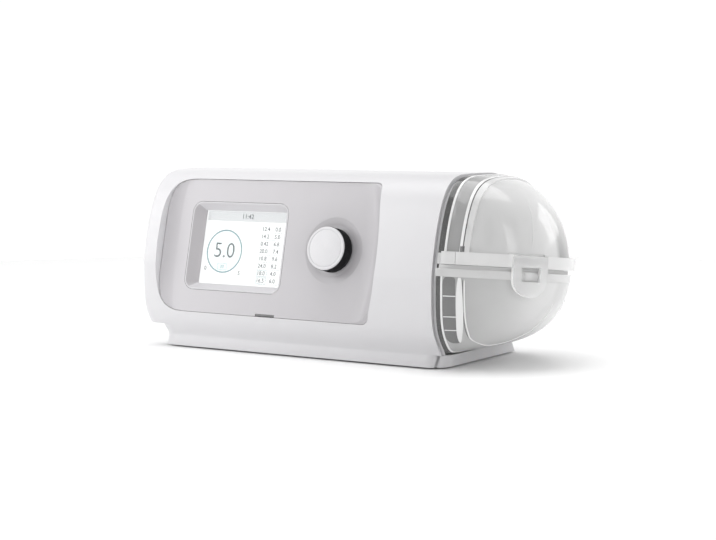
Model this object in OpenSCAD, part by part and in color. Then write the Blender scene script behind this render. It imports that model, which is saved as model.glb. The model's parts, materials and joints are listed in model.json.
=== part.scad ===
// Bedside airway pressure machine with a side-docked water tank.
// X runs along the length (tank at +X), Y runs from front to back, Z is up.
// The origin is under the middle of the overall box, on the surface it stands on.

/* [Housing] */
// Length of the housing from its left end to the dock seam
body_len = 241; // [236:1:248]
// Height of the crown of the housing
body_top = 126.5; // [125:0.5:130]
// Half of the housing's depth at its widest level
half_depth = 61.9; // [61:0.1:64]
// Half of the depth at the waist above the skirt
waist_half = 49.2; // [48:0.1:51]
// Half of the depth at the foot of the skirt
foot_half = 53.5; // [52.5:0.1:55]
// Level at which the housing is widest
wide_z = 59.3; // [57:0.1:61]
// Level of the waist
waist_z = 8.8; // [8.4:0.1:9.2]
// Level of the underside of the housing past the skirt
under_z = 16; // [15:0.5:18]
// Level of the bottom edge of the skirt
skirt_z = 1.2; // [1:0.1:1.6]
// Wall of the housing
wall = 2.5; // [2.2:0.1:2.8]
// Setback of the skirt from the left end of the housing
skirt_in = 6; // [5:0.5:8]
// Rounding of the left end of the housing
end_round = 5; // [3:0.5:6]
// Plan radius of the skirt's left corners
skirt_r = 14; // [12:1:16]
// Plan radius of the foot's right front corner
foot_r = 11; // [9:1:12]
// Plan radius of the foot's right back corner
foot_back_r = 5; // [4:0.5:6]
// Plan radius of the slab's front corner under the tank
slab_r = 14; // [13:0.5:15]
// How far the slab under the tank stands out past the seam
slab_out = 3; // [2.6:0.1:3.2]

/* [Front panel] */
// Backward lean of the flat panel, in degrees
panel_tilt = 12.76; // [12:0.1:13.2]
// Setback of the panel's lower edge from the housing's skin there
panel_set = 0.2; // [0:0.1:1.2]
// Height of the middle of the panel
panel_z = 73.4; // [72.6:0.1:74]
// Height of the panel along its slope
panel_h = 95.6; // [93:0.2:96]
// Right edge of the panel, from the dock seam
panel_right = 48.7; // [46:0.1:52]
// Left edge of the panel, from the left end
panel_left = 13.2; // [12:0.1:15]
// Bow of the panel's right edge at mid height
panel_bow = 6; // [4:0.5:7]
// Rise of the panel's dished ends
panel_lip = 4; // [3:0.5:5]
// Sweep of the rounded left end of the panel
panel_sweep = 30; // [26:1:34]
// Radius of the right corners of the panel
panel_r = 6; // [4:0.5:8]
// Thickness of the panel plate
panel_t = 3; // [2.6:0.1:3.4]
// Gap between a set-in plate and its opening
plate_gap = 0.25; // [0.15:0.05:0.4]

/* [Display] */
// Width of the lit area of the display
lcd_w = 70; // [66:1:74]
// Height of the lit area of the display
lcd_h = 52.6; // [50:0.2:55]
// Middle of the lit area, from the left end
lcd_x = 77; // [75:0.5:79]
// Width of the recess around the display
recess_w = 83.4; // [82:0.2:86]
// Height of the recess around the display
recess_h = 63.4; // [62:0.2:66]
// Corner radius of the recess
recess_r = 8; // [6:0.5:9]
// Depth of the recess
recess_d = 5; // [4:0.2:5.4]
// Thickness of the display window
lens_t = 1.2; // [1:0.1:1.5]
// Thickness of the display module
lcd_t = 4; // [3.4:0.1:4.4]
// Thickness of the circuit boards
pcb_t = 1.6; // [1.4:0.1:2]
// Width of the light sensor window
sensor_w = 16; // [12:0.5:18]

/* [Knob] */
// Middle of the knob, from the dock seam
knob_x = 83.8; // [82:0.2:86]
// Radius of the knob
knob_r = 14.7; // [13.5:0.1:15.4]
// Height of the knob's face over the panel
knob_h = 10.4; // [9:0.1:12]
// Radius of the well around the knob
well_r = 17; // [16:0.1:18]
// Radius of the shallow dish around the well
dish_r = 22.7; // [21:0.1:24]
// Radius of the encoder shaft
shaft_r = 3; // [2.8:0.1:3.2]
// Running clearance of the shafts, on the radius
run_gap = 0.05; // [0.03:0.01:0.08]
// Travel of the knob when it is pressed
press_travel = 0.8; // [0.5:0.1:1]

/* [Blower] */
// Radius of the blower's scroll
blower_r = 26; // [25:0.5:26.5]
// Height of the blower's scroll
blower_h = 24; // [22:0.5:26]
// Middle of the blower, from the left end
blower_x = 65; // [62:0.5:68]
// Radius of the impeller
fan_r = 20.5; // [19:0.5:21]
// Number of impeller blades
fan_blades = 11; // [7:1:13]
// Outer radius of the air ducts
duct_r = 9.5; // [9:0.1:10]
// Wall of the air ducts
duct_wall = 1.5; // [1.2:0.1:1.8]

/* [Dock and tank] */
// How far the tank's dome stands out from the seam
dome_len = 62; // [60:0.5:64]
// Rise of the dome over its widest level
dome_up = 64; // [63:0.2:64.6]
// Drop of the dome under its widest level
dome_down = 51; // [50.4:0.1:51.6]
// Widest level of the dome
dome_z = 61.5; // [61:0.1:62]
// Wall of the clear tank
tank_wall = 2.2; // [1.8:0.1:2.6]
// Flange standing out from the dome
flange_out = 3.5; // [3:0.1:4]
// Height of the lid's flange
flange_h = 8.2; // [7.6:0.1:9]
// Level of the flange's top at the front
flange_z = 78.6; // [77.6:0.2:79.6]
// Fall of the flange towards the back, in degrees
flange_fall = 5.73; // [5.2:0.1:6.2]
// Thickness of the gasket
gasket_t = 2.4; // [2:0.1:2.6]
// Height of the tub's rim
rim_h = 5.2; // [4.6:0.1:6]
// Proud edge of the dock ring past the seam
ring_out = 2.5; // [2:0.1:3]
// Wall of the dock ring
ring_wall = 2.4; // [2:0.1:2.8]
// Split between the tank's fixed cover and its lid, from the seam
split_x = 17.4; // [16.4:0.5:18.9]
// How far the lid's hinge axis stands behind the flange's line
hinge_out = 3.7; // [3.5:0.1:4]
// Width of the lid's edge band
band_w = 6; // [5:0.5:7]
// Depth of the tub inside the dock
tub_in = 50; // [46:0.5:52]
// Clearance from the front panel's back to the dock's box
dock_front = 1.8; // [1:0.1:2.5]
// Distance from the skirt's skin at its waist to the tub in the dock
dock_side = 8.2; // [8:0.1:10]
// Top of the tub inside the dock
tub_top = 56; // [52:0.5:56.4]
// Level of the tub's bottom inside the dock
tub_z = 12; // [11.8:0.1:12.6]
// Gap between moving parts
move_gap = 0.3; // [0.25:0.05:0.4]
// Clearance from the display's board to the blower's chamber
board_clear = 1.8; // [1:0.1:2]
// Setback of the hose-side air port from the housing's middle
port_back = 19; // [18:0.5:21]
// Height of the air ports
port_z = 88; // [87:0.5:90]
// Radius of the tank's air ports
port_r = 12; // [11:0.1:12.5]
// Radius of the hinge knuckles
hinge_r = 3.2; // [3:0.1:3.4]
// Radius of the hinge pin
hinge_pin_r = 1.5; // [1.3:0.1:1.6]
// Direction that the latch faces, in degrees before +X
latch_a = 30; // [28:0.5:33]
// Width of the latch
latch_w = 26; // [24:0.5:27]
// Length of the latch
latch_len = 27; // [25:0.5:28]

/* [Back] */
// Left end of the rear cover and the main board, from the seam
bay_x = 124; // [120:1:125]
// Right end of the rear cover, from the seam
bay_end = 35; // [33:1:38]
// Radius of the hose outlet
hose_r = 11; // [10.8:0.1:11.2]
// Length of the hose's seat on the outlet
hose_seat = 24; // [20:1:26]
// Rise of the shoulder that the hose's cuff meets
hose_step = 1.6; // [1.2:0.1:1.8]
// Middle of the hose outlet, from the seam
hose_x = 66; // [64:0.5:68]
// Reach of the hose outlet past the back of the housing
hose_y = 24; // [22:0.1:25]
// Radius of the power inlet
jack_r = 4; // [3.6:0.1:4.4]
// Middle of the power inlet, from the seam
jack_x = 104; // [100:1:108]
// Width of the air filter
filter_w = 44; // [40:1:46]
// Height of the air filter
filter_h = 42; // [38:1:44]

/* [Fixings] */
// Radius of the screws
screw_r = 1.45; // [1.4:0.01:1.47]
// Radius of the screw holes
screw_hole_r = 1.5; // [1.49:0.01:1.55]
// Radius of the screw heads
head_r = 2.8; // [2.6:0.1:3]
// Radius of a foot
foot_pad_r = 6; // [5:0.5:7]

/* [Hidden] */
$fn = 48;

total_len = body_len + dome_len + flange_out;
xl = -total_len / 2;
xs = xl + body_len;
yc = -11;
up_p = 4.76;
up_q = 1.19;

// Half of the housing's depth at level z, with its skin set in by d
function half(z, d = 0) =
  z >= wide_z ? (half_depth - d) * pow(max(0, 1 - pow(min(1, (z - wide_z) / (body_top - d - wide_z)), up_q)), 1 / up_p)
  : z >= waist_z ? waist_half - d + (half_depth - waist_half) * pow(1 - pow((wide_z - z) / (wide_z - waist_z), 5), 1.7)
  : waist_half - d + (foot_half - waist_half) * pow((waist_z - z) / (waist_z - skirt_z), 1.5);

// Half outline [half depth, level] from level zb up to the crown
function half_line(d, zb) = concat(
  [for (k = [0 : 6]) let (z = zb + (wide_z - zb) * pow(k / 7, 1.35)) [half(z, d), z]],
  [for (a = [0, 14, 27, 39, 50, 60, 69, 77, 83, 87]) [(half_depth - d) * pow(cos(a), 2 / up_p),
    wide_z + (body_top - d - wide_z) * pow(sin(a), 2 / up_q)]],
  [[0, body_top - d]]);

// Closed outline in Y and Z
function outline_yz(d, zb) = let (h = half_line(d, zb), n = len(h))
  concat([for (p = h) [yc - p[0], p[1]]], [for (k = [n - 2 : -1 : 0]) [yc + h[k][0], h[k][1]]]);

// Solid through rings of equal point count
module loft(rings, flip = false) {
  n = len(rings[0]);
  m = len(rings);
  pts = [for (r = rings) for (p = r) p];
  side = [for (i = [0 : m - 2]) for (j = [0 : n - 1]) let (a = i * n + j, b = i * n + (j + 1) % n, c = a + n, e = b + n)
    each [[a, b, e], [a, e, c]]];
  caps = [[for (j = [n - 1 : -1 : 0]) j], [for (j = [0 : n - 1]) (m - 1) * n + j]];
  faces = concat(side, caps);
  polyhedron(points = pts, faces = flip ? faces : [for (f = faces) [for (k = [len(f) - 1 : -1 : 0]) f[k]]]);
}

// Prism along X over an outline in Y and Z
module bar_x(x0, x1, pts) {
  translate([x0, 0, 0]) rotate([90, 0, 90]) linear_extrude(x1 - x0) polygon(pts);
}

// Housing skin set in by d, from xa at its left end to xb
module skin(d, xb, zb) {
  loft([for (s = [[0, end_round], [0.9, end_round * 0.48], [2.4, end_round * 0.16], [end_round, 0]])
      let (q = outline_yz(d + s[1], zb + s[1] * 0.8)) [for (p = q) [xl + d + s[0], p[0], p[1]]],
    for (x = [xb]) [for (p = outline_yz(d, zb)) [x, p[0], p[1]]]], true);
}

// Rounded rectangle from corners, with separate left and right radii
function rr(x0, x1, y0, y1, ra, rb, k = 6, rc = -1) = let (re = rc < 0 ? rb : rc) concat(
  [for (i = [0 : k]) [x1 - rb + rb * sin(i * 90 / k), y0 + rb - rb * cos(i * 90 / k)]],
  [for (i = [0 : k]) [x1 - re + re * cos(i * 90 / k), y1 - re + re * sin(i * 90 / k)]],
  [for (i = [0 : k]) [x0 + ra - ra * sin(i * 90 / k), y1 - ra + ra * cos(i * 90 / k)]],
  [for (i = [0 : k]) [x0 + ra - ra * cos(i * 90 / k), y0 + ra - ra * sin(i * 90 / k)]]);

// Skirt block between two levels, set in by d
module skirt(d, za, zb, rb, levels) {
  loft([for (i = [0 : levels]) let (z = za + (zb - za) * i / levels, h = half(z, d))
    [for (p = rr(xl + skirt_in + d + 4.2 * (1 - min(1, z / 12)), xs - (rb > 2 ? d : 0), yc - h, yc + h, skirt_r - d * 0.5, rb, 6, min(rb, foot_back_r))) [p[0], p[1], z]]]);
}

// Frame of the flat panel: local X along the length, local Y up the slope, local Z outwards
panel_y = yc - half(panel_z - panel_h / 2 * cos(panel_tilt)) + panel_set + panel_h / 2 * sin(panel_tilt);
module on_panel() { translate([0, panel_y, panel_z]) rotate([90 - panel_tilt, 0, 0]) children(); }
module on_back() { translate([0, 2 * yc - panel_y, panel_z]) rotate([90 - panel_tilt, 0, 180]) children(); }

// Outline of the front panel, set in by a at the left, b at the right and c above and below
px1 = xs - panel_right;
px0 = xl + panel_left;
function panel_line(a, b, c) = let (hh = panel_h / 2 - c, xr = px1 - b, xa = px0 + panel_sweep, w = panel_sweep - a)
  concat(
    [for (t = [-90 : 15 : 0]) [xr - panel_r + panel_r * cos(t), -hh + panel_r + panel_r * sin(t)]],
    [for (k = [1 : 9]) let (v = -1 + k / 5) [xr + panel_bow * (1 - v * v), v * (hh - panel_r)]],
    [for (t = [0 : 15 : 90]) [xr - panel_r + panel_r * cos(t), hh - panel_r + panel_r * sin(t)]],
    [for (t = [90, 84, 76, 66, 54, 40, 24, 8, -8, -24, -40, -54, -66, -76, -84, -90])
      [xa - w * pow(cos(t), 2 / 4.2), sign(t) * hh * pow(abs(sin(t)), 2 / 4.2)]]);

// Rear cover's outline, in the frame on the back
bx0 = -(xs - bay_end);
bx1 = -(xs - bay_x);
bs0 = -41;
bs1 = 42;
module back_plate_2d(e) {
  translate([bx0 - e, bs0 - e]) square([bx1 - bx0 + 2 * e, bs1 - bs0 + 2 * e]);
}

// Positions
lx = xl + lcd_x;
rx = lx - 1.7;
kx = xs - knob_x;
bwx = xl + blower_x;
bwz = port_z;
out_y = 2 * yc - panel_y - (port_z + hose_r + hose_step + 1.6 - panel_z) * tan(panel_tilt) - panel_t / cos(panel_tilt) - 2.3;
liner_x = xs - tub_in - 4;
// The tub in the dock is as wide as both the skirt's waist and the leaning panel leave room for
tub_half = min(waist_half - dock_side, yc - 3 - dock_front - panel_y + (panel_z - tub_top - 4) * tan(panel_tilt) - (panel_t + 2.8) / cos(panel_tilt));
port_wall_x = xs - 31.5;
hx = xs - hose_x;
jx = xs - jack_x;
board_z = 26;
jz = board_z + 16.5;
fx = xl + 48;
fz = 60;
fil_y = yc + half_depth - 3.7;
boss_x = [xl + 34, xs - 60];
boss_y = [yc - waist_half + 5.2, yc + waist_half - 5.2];
lens_z = -recess_d - 1.1;
lcd_z = lens_z - lens_t - 0.1;
dis_z = lcd_z - lcd_t - 0.1;
// The chamber starts behind the display's board, and the blower and the first port follow it
cy0 = panel_y + 33 * sin(panel_tilt) + (pcb_t - dis_z) * cos(panel_tilt) + board_clear;
bwy = cy0 + blower_r + 6;
cy1 = bwy + blower_r + 11;
p1y = bwy - blower_r + 6;
p2y = yc + port_back;
enc_z = -panel_t - 0.2;

// ---------------- housing ----------------
module main_housing() color([0.94, 0.94, 0.95]) {
  difference() {
    union() {
      difference() {
        union() {
          skin(0, xs, under_z);
          skirt(0, waist_z + 0.2, under_z + 6, 1, 5);
          skirt(0, skirt_z, waist_z + 0.2, foot_r, 4);
        }
        skin(wall, xs + 1, under_z + wall);
        translate([0, 0, 0]) skirt_void();
        // display side opening
        on_panel() translate([0, 0, -panel_t - 0.2]) linear_extrude(40) polygon(panel_line(0, 0, 0));
        on_back() translate([0, 0, -panel_t - 0.2]) linear_extrude(40) back_plate_2d(0);
        // filter opening
        translate([fx - filter_w / 2 - 3, yc + 45, fz - filter_h / 2 - 3]) cube([filter_w + 6, 30, filter_h + 6]);
        // room for the base pan's right wall
        translate([xs - 2.4, yc - 70, -5]) cube([10, 140, waist_z + 5]);
      }
      // ledges behind the set-in plates
      intersection() {
        skin(wall - 0.6, xs - 3, under_z + 1);
        union() {
          on_panel() translate([0, 0, -panel_t - 2.8]) linear_extrude(2.6) difference() {
            polygon(panel_line(-3, -3, -3));
            polygon(panel_line(2, 2, 2));
          }
          on_back() translate([0, 0, -panel_t - 2.8]) linear_extrude(2.6) difference() {
            back_plate_2d(3);
            back_plate_2d(-2.5);
          }
          // walls of the two openings
          on_panel() translate([0, 0, -panel_t - 2.8]) linear_extrude(24) difference() {
            polygon(panel_line(-1.6, -1.6, -0.2));
            polygon(panel_line(0, 0, 0));
          }
          on_back() translate([0, 0, -panel_t - 2.8]) linear_extrude(24) difference() {
            back_plate_2d(1.6);
            back_plate_2d(0);
          }
          on_back() for (x = [bx0 + 5, bx1 - 5]) for (s = [bs0 + 5, bs1 - 5])
            translate([x - 5, s - 5, -panel_t - 7.2]) cube([10, 10, 7]);
        }
      }
      // screw bosses on the skirt
      for (x = boss_x) for (y = boss_y) translate([x, y, skirt_z + 3]) cylinder(r = 3.4, h = 9);
    }
    for (x = boss_x) for (y = boss_y) translate([x, y, skirt_z + 2]) cylinder(r = screw_hole_r, h = 9);
    on_back() for (x = [bx0 + 5, bx1 - 5]) for (s = [bs0 + 5, bs1 - 5])
      translate([x, s, -panel_t - 6.6]) cylinder(r = screw_hole_r, h = 12);
  }
}
// Inside of the skirt
module skirt_void() {
  loft([for (i = [0 : 7]) let (z = i == 0 ? -3 : skirt_z + (under_z + 5 - skirt_z) * (i - 1) / 6, h = half(max(z, skirt_z), wall))
    [for (p = rr(xl + skirt_in + wall + 4.2 * (1 - min(1, max(z, skirt_z) / 12)), xs + 2, yc - h, yc + h, skirt_r - wall, 1)) [p[0], p[1], z]]]);
}

module base_pan() color([0.9, 0.9, 0.91]) {
  e = wall + plate_gap + 0.1;
  difference() {
    union() {
      h = half(skirt_z + 2.6, 0) - e;
      translate([0, 0, skirt_z]) linear_extrude(2.6)
        polygon(rr(xl + skirt_in + e + 4.2, xs - 3, yc - h, yc + h, skirt_r - e, foot_r - e));
      // right wall, seen under the tank
      intersection() {
        loft([for (i = [0 : 2]) let (z = skirt_z + (waist_z - 0.1 - skirt_z) * i / 2, h2 = half(z))
          [for (p = rr(xs - 60, xs + slab_out, yc - h2, yc + h2, 1, slab_r, 6, foot_back_r)) [p[0], p[1], z]]]);
        translate([xs - 2.4 + plate_gap, yc - 60, 0]) cube([10, 120, 20]);
      }
      // its thicker foot behind the skirt's corners
      intersection() {
        loft([for (i = [0 : 2]) let (z = skirt_z + (waist_z - 0.1 - skirt_z) * i / 2, h2 = half(z) - e)
          [for (p = rr(xs - 60, xs - 0.4, yc - h2, yc + h2, 1, foot_r - 2)) [p[0], p[1], z]]]);
        difference() {
          translate([xs - 9, yc - 60, 0]) cube([8.6, 120, 20]);
          translate([xs - 20, yc - 40, skirt_z + 2.6]) cube([17, 80, 20]);
        }
      }
      // posts under the main board
      for (x = [mb0 + 5, mb1 - 5]) for (y = [yc - 22, yc + 38]) translate([x, y, skirt_z + 2]) cylinder(r = 3.5, h = board_z - skirt_z - 2);
      // posts under the heater
      for (x = [xs - 40, xs - 12]) for (y = [yc - 26, yc + 26]) translate([x, y, skirt_z + 2]) cylinder(r = 3, h = 2.6);
    }
    for (x = boss_x) for (y = boss_y) {
      translate([x, y, skirt_z - 1]) cylinder(r = screw_hole_r + 0.1, h = 6);
      translate([x, y, skirt_z - 1]) cylinder(r = head_r + 0.2, h = 2);
    }
    for (x = [mb0 + 5, mb1 - 5]) for (y = [yc - 22, yc + 38]) translate([x, y, skirt_z + 8]) cylinder(r = screw_hole_r, h = board_z);
    for (x = foot_x) for (y = foot_y) translate([x, y, skirt_z - 1]) cylinder(r = foot_pad_r + 0.05, h = 1.8);
    // cooling slots
    for (k = [0 : 6]) translate([mb0 + 12 + k * 6, yc - 8, -1]) cube([2.4, 24, 10]);
  }
}
mb0 = xs - bay_x;
mb1 = liner_x - 5;
foot_x = [xl + 28, xs - 16];
foot_y = [yc - waist_half + 15.2, yc + waist_half - 15.2];

module rubber_feet() color([0.3, 0.3, 0.32]) {
  for (x = foot_x) for (y = foot_y) {
    cylinder_at(x, y, 0, foot_pad_r - 0.8, 0.4);
    cylinder_at(x, y, 0.4, foot_pad_r, skirt_z + 0.4);
  }
}
module cylinder_at(x, y, z, r, h) { translate([x, y, z]) cylinder(r = r, h = h); }

module base_screws() color([0.7, 0.7, 0.72]) {
  for (x = boss_x) for (y = boss_y) {
    difference() {
      cylinder_at(x, y, skirt_z - 0.9, head_r, 1.8);
      translate([x, y, skirt_z - 1.4]) cylinder(r = 1.3, h = 1.3, $fn = 6);
    }
    cylinder_at(x, y, skirt_z + 0.9, screw_r, 9);
  }
}

module rear_cover() color([0.9, 0.9, 0.91]) {
  difference() {
    intersection() {
      on_back() difference() {
        translate([0, 0, -panel_t]) linear_extrude(20) back_plate_2d(-plate_gap);
        translate([bx0 + 2.6, bs0 - 5, 0]) cube([bx1 - bx0 - 5.2, bs1 - bs0 + 10, 30]);
      }
      skin(0.4, xs - 3, under_z);
    }
    translate([hx, 0, port_z]) rotate([-90, 0, 0]) cylinder(r = hose_r + hose_step + 0.3, h = 90);
    translate([jx, 0, jz]) rotate([-90, 0, 0]) cylinder(r = jack_r + 1.8, h = 90);
    on_back() for (x = [bx0 + 5, bx1 - 5]) for (s = [bs0 + 5, bs1 - 5]) {
      translate([x, s, -panel_t - 1]) cylinder(r = screw_hole_r + 0.1, h = 20);
      translate([x, s, -1.4]) cylinder(r = head_r + 0.2, h = 20);
    }
    // vents
    on_back() for (k = [0 : 7]) translate([bx1 - 16 - k * 5, -8, -10]) cube([2.2, 22, 20]);
  }
}
module rear_screws() color([0.7, 0.7, 0.72]) {
  on_back() for (x = [bx0 + 5, bx1 - 5]) for (s = [bs0 + 5, bs1 - 5]) {
    difference() {
      translate([x, s, -1.4]) cylinder(r = head_r, h = 1.8);
      translate([x, s, -0.6]) cylinder(r = 1.3, h = 2, $fn = 6);
    }
    translate([x, s, -panel_t - 6]) cylinder(r = screw_r, h = panel_t + 4.7);
  }
}

// ---------------- front ----------------
module front_panel() color([0.8, 0.79, 0.81]) {
  difference() {
    intersection() {
      on_panel() difference() {
        translate([0, 0, -panel_t]) linear_extrude(panel_t + panel_lip) polygon(panel_line(plate_gap, plate_gap, plate_gap));
        // scoop that sweeps up at both ends
        loft([for (q = [[0, 17, 15], [0.1, 11, 9.5], [0.3, 6.6, 5.6], [0.6, 3.2, 2.8], [1.02, 0.8, 0.8]])
          [for (p = panel_line(plate_gap + q[1], plate_gap + q[2], -4)) [p[0], p[1], q[0] * panel_lip]]]);
      }
      skin(0.4, xs - 3, under_z);
    }
    on_panel() {
      translate([0, 0, -panel_t - 1]) linear_extrude(12) polygon(rr(rx - recess_w / 2, rx + recess_w / 2, -recess_h / 2, recess_h / 2, recess_r, recess_r));
      translate([kx, 0.8, -panel_t - 1]) cylinder(r = 3.5 + 0.15, h = 12);
      translate([kx, 0.8, -1.2]) cylinder(r = well_r, h = 12);
      translate([kx, 0.8, -0.7]) cylinder(r1 = well_r + 0.6, r2 = dish_r, h = 0.72);
      translate([xs - 133.9 - sensor_w / 2, -panel_h / 2 - 1, -1.2]) cube([sensor_w, 3, 3]);
    }
  }
}
module sensor_window() color([0.12, 0.12, 0.14]) {
  intersection() {
    on_panel() translate([xs - 133.9 - sensor_w / 2 + 0.15, -panel_h / 2 + plate_gap + 0.1, -1.15]) cube([sensor_w - 0.3, 1.55, 1.1]);
    skin(0.5, xs - 3, under_z);
  }
}

module display_bezel() color([0.83, 0.83, 0.85]) on_panel() {
  difference() {
    union() {
      translate([0, 0, lens_z + 0.1]) linear_extrude(-lens_z - 0.1)
        polygon(rr(rx - recess_w / 2 + plate_gap, rx + recess_w / 2 - plate_gap, -recess_h / 2 + plate_gap, recess_h / 2 - plate_gap, recess_r - plate_gap, recess_r - plate_gap));
      translate([rx - recess_w / 2 - 3.5, -recess_h / 2 - 3.5, lens_z + 0.1]) cube([recess_w + 7, recess_h + 7, -lens_z - panel_t - 0.3]);
    }
    loft([for (q = [[-recess_d, 0, 0.6], [0.02, 1, recess_r - 1]])
      [for (p = rr(lx - lcd_w / 2 + q[1] * (rx - recess_w / 2 + 1 - lx + lcd_w / 2), lx + lcd_w / 2 + q[1] * (rx + recess_w / 2 - 1 - lx - lcd_w / 2),
        -lcd_h / 2 - q[1] * (recess_h / 2 - 1 - lcd_h / 2), lcd_h / 2 + q[1] * (recess_h / 2 - 1 - lcd_h / 2), q[2], q[2])) [p[0], p[1], q[0]]]]);
    translate([lx - lcd_w / 2, -lcd_h / 2, lens_z - 1]) cube([lcd_w, lcd_h, 3]);
  }
}
module display_lens() color([0.95, 0.97, 0.98, 0.6]) on_panel() {
  translate([lx - lcd_w / 2 - 4, -lcd_h / 2 - 4, lens_z - lens_t]) cube([lcd_w + 8, lcd_h + 8, lens_t]);
}
module lcd_module() color([0.9, 0.93, 0.94]) on_panel() {
  difference() {
    translate([lx - lcd_w / 2 - 3.5, -lcd_h / 2 - 6, lcd_z - lcd_t]) cube([lcd_w + 7, lcd_h + 11, lcd_t]);
    translate([lx - lcd_w / 2, -lcd_h / 2, lcd_z - 0.3]) cube([lcd_w, lcd_h, 1]);
  }
}
module display_board() color([0.1, 0.4, 0.25]) on_panel() {
  difference() {
    union() {
      translate([lx - 44, -33, dis_z - pcb_t]) cube([kx + 18 - lx + 44, 66, pcb_t]);
      for (x = [lx + 48, lx + 60]) translate([x, 14, dis_z]) cube([8, 8, 1.4]);
      translate([lx + 47, -24, dis_z]) cube([16, 6, 3]);
      // standing pads that reach the panel's back
      for (y = [-30, 26]) translate([kx + 12, y, dis_z]) cube([4, 4, -panel_t - 0.2 - dis_z]);
      for (y = [-32.5, 28.5]) translate([lx + 42, y, dis_z]) cube([4, 4, lens_z - dis_z]);
    }
    translate([kx, 0.8, dis_z - pcb_t - 1]) cylinder(r = 1, h = 6);
  }
}
module encoder_body() color([0.6, 0.6, 0.62]) on_panel() translate([kx, 0.8, 0]) {
  difference() {
    union() {
      translate([-6.5, -6.5, dis_z + 0.05]) cube([13, 13, enc_z - dis_z - 0.05]);
      translate([0, 0, enc_z - 0.5]) cylinder(r = 3.5, h = 5.2);
    }
    translate([0, 0, enc_z - 3]) cylinder(r = shaft_r + run_gap - 0.6, h = 3.2);
    translate([0, 0, enc_z - 2.6]) cylinder(r = shaft_r + run_gap, h = 12);
    translate([0, 0, dis_z + 1.2]) cylinder(r = 2.0, h = 8);
  }
}
module encoder_nut() color([0.75, 0.72, 0.6]) on_panel() translate([kx, 0.8, -1.15]) {
  difference() {
    cylinder(r = 5.6, h = 1.3, $fn = 6);
    translate([0, 0, -1]) cylinder(r = 3.55, h = 4);
  }
}
// presses with the knob but doesn't turn
module encoder_plunger() color([0.2, 0.2, 0.22]) on_panel() translate([kx, 0.8, 0]) {
  translate([0, 0, dis_z + 2.3]) cylinder(r = 1.6, h = enc_z - 2.6 + 1.6 - dis_z - 2.3);
}
module encoder_shaft() color([0.72, 0.72, 0.74]) on_panel() translate([kx, 0.8, 0]) {
  difference() {
    translate([0, 0, enc_z - 0.7]) cylinder(r = shaft_r, h = knob_h - 3 - enc_z + 0.7);
    translate([1.8, -5, 3]) cube([5, 10, 20]);
  }
}
module knob_ring() color([0.55, 0.55, 0.57]) on_panel() translate([kx, 0.8, 0]) {
  difference() {
    union() {
      translate([0, 0, press_travel - 0.4]) cylinder(r = knob_r + 0.4, h = 1.2);
      translate([0, 0, press_travel + 0.8]) cylinder(r = knob_r, h = knob_h - 1.2 - press_travel - 0.8);
    }
    translate([0, 0, -1]) cylinder(r = knob_r - 1.6, h = 20);
  }
}
module knob_cap() color([0.93, 0.93, 0.94]) on_panel() translate([kx, 0.8, 0]) {
  difference() {
    union() {
      // crowned face with a fine ring groove
      rotate_extrude($fn = 72) polygon([[0, knob_h - 3.4], [knob_r - 1.65, knob_h - 3.4], [knob_r - 1.65, knob_h - 1.15],
        [knob_r, knob_h - 1.15], [knob_r, knob_h - 0.5], [knob_r - 0.5, knob_h], [knob_r * 0.88, knob_h],
        [knob_r * 0.87, knob_h - 0.25], [knob_r * 0.855, knob_h - 0.25], [knob_r * 0.845, knob_h],
        [knob_r * 0.5, knob_h + 0.35], [0, knob_h + 0.5]]);
      translate([0, 0, press_travel + 1.9]) cylinder(r = shaft_r + 2.2, h = knob_h - 4.5 - press_travel);
    }
    difference() {
      translate([0, 0, -2]) cylinder(r = shaft_r + 0.02, h = knob_h - 1);
      translate([1.82, -5, 3.02]) cube([5, 10, 20]);
    }
  }
}

// ---------------- air path ----------------
cx0 = xl + wall + 3.6;
cx1 = xl + 112;
cz0 = skirt_z + 3;
cz1 = 108;
deck_z = bwz - blower_h / 2 - 7;
module chamber_base() color([0.88, 0.88, 0.9]) {
  difference() {
    union() {
      translate([cx0 + 8, cy0, cz0]) cube([cx1 - cx0 - 8, cy1 - cy0 - 8, cz1 - cz0]);
      // neck to the filter
      translate([fx - filter_w / 2 - 2, cy1 - 9, fz - filter_h / 2 - 2]) cube([filter_w + 4, fil_y - 3.2 - cy1 + 9, filter_h + 4]);
    }
    translate([cx0 + 10, cy0 + 2, cz0 + 2]) cube([cx1 - cx0 - 12, cy1 - cy0 - 12, deck_z - cz0 - 4]);
    translate([cx0 + 10, cy0 + 2, deck_z]) cube([cx1 - cx0 - 12, cy1 - cy0 - 12, cz1]);
    translate([fx - filter_w / 2, cy1 - 12, fz - filter_h / 2]) cube([filter_w, 60, filter_h]);
    // deck passage and blower outlet
    translate([cx0 + 14, cy1 - 24, deck_z - 10]) cube([26, 10, 20]);
    translate([cx1 - 10, p1y, port_z]) rotate([0, 90, 0]) cylinder(r = duct_r + 0.3, h = 20);
    for (a = [90, 210, 330]) translate([bwx + 20 * cos(a), bwy + 20 * sin(a), deck_z - 3]) cylinder(r = 2, h = 10);
  }
}
module chamber_lid() color([0.86, 0.86, 0.88]) {
  difference() {
    union() {
      translate([cx0 + 8, cy0, cz1 + 0.1]) cube([cx1 - cx0 - 8, cy1 - cy0 - 8, 2]);
      translate([cx0 + 10.3, cy0 + 2.3, cz1 - 3]) cube([cx1 - cx0 - 12.6, cy1 - cy0 - 12.6, 3.2]);
    }
    translate([cx0 + 12.3, cy0 + 4.3, cz1 - 4]) cube([cx1 - cx0 - 16.6, cy1 - cy0 - 16.6, 4]);
  }
}
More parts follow.
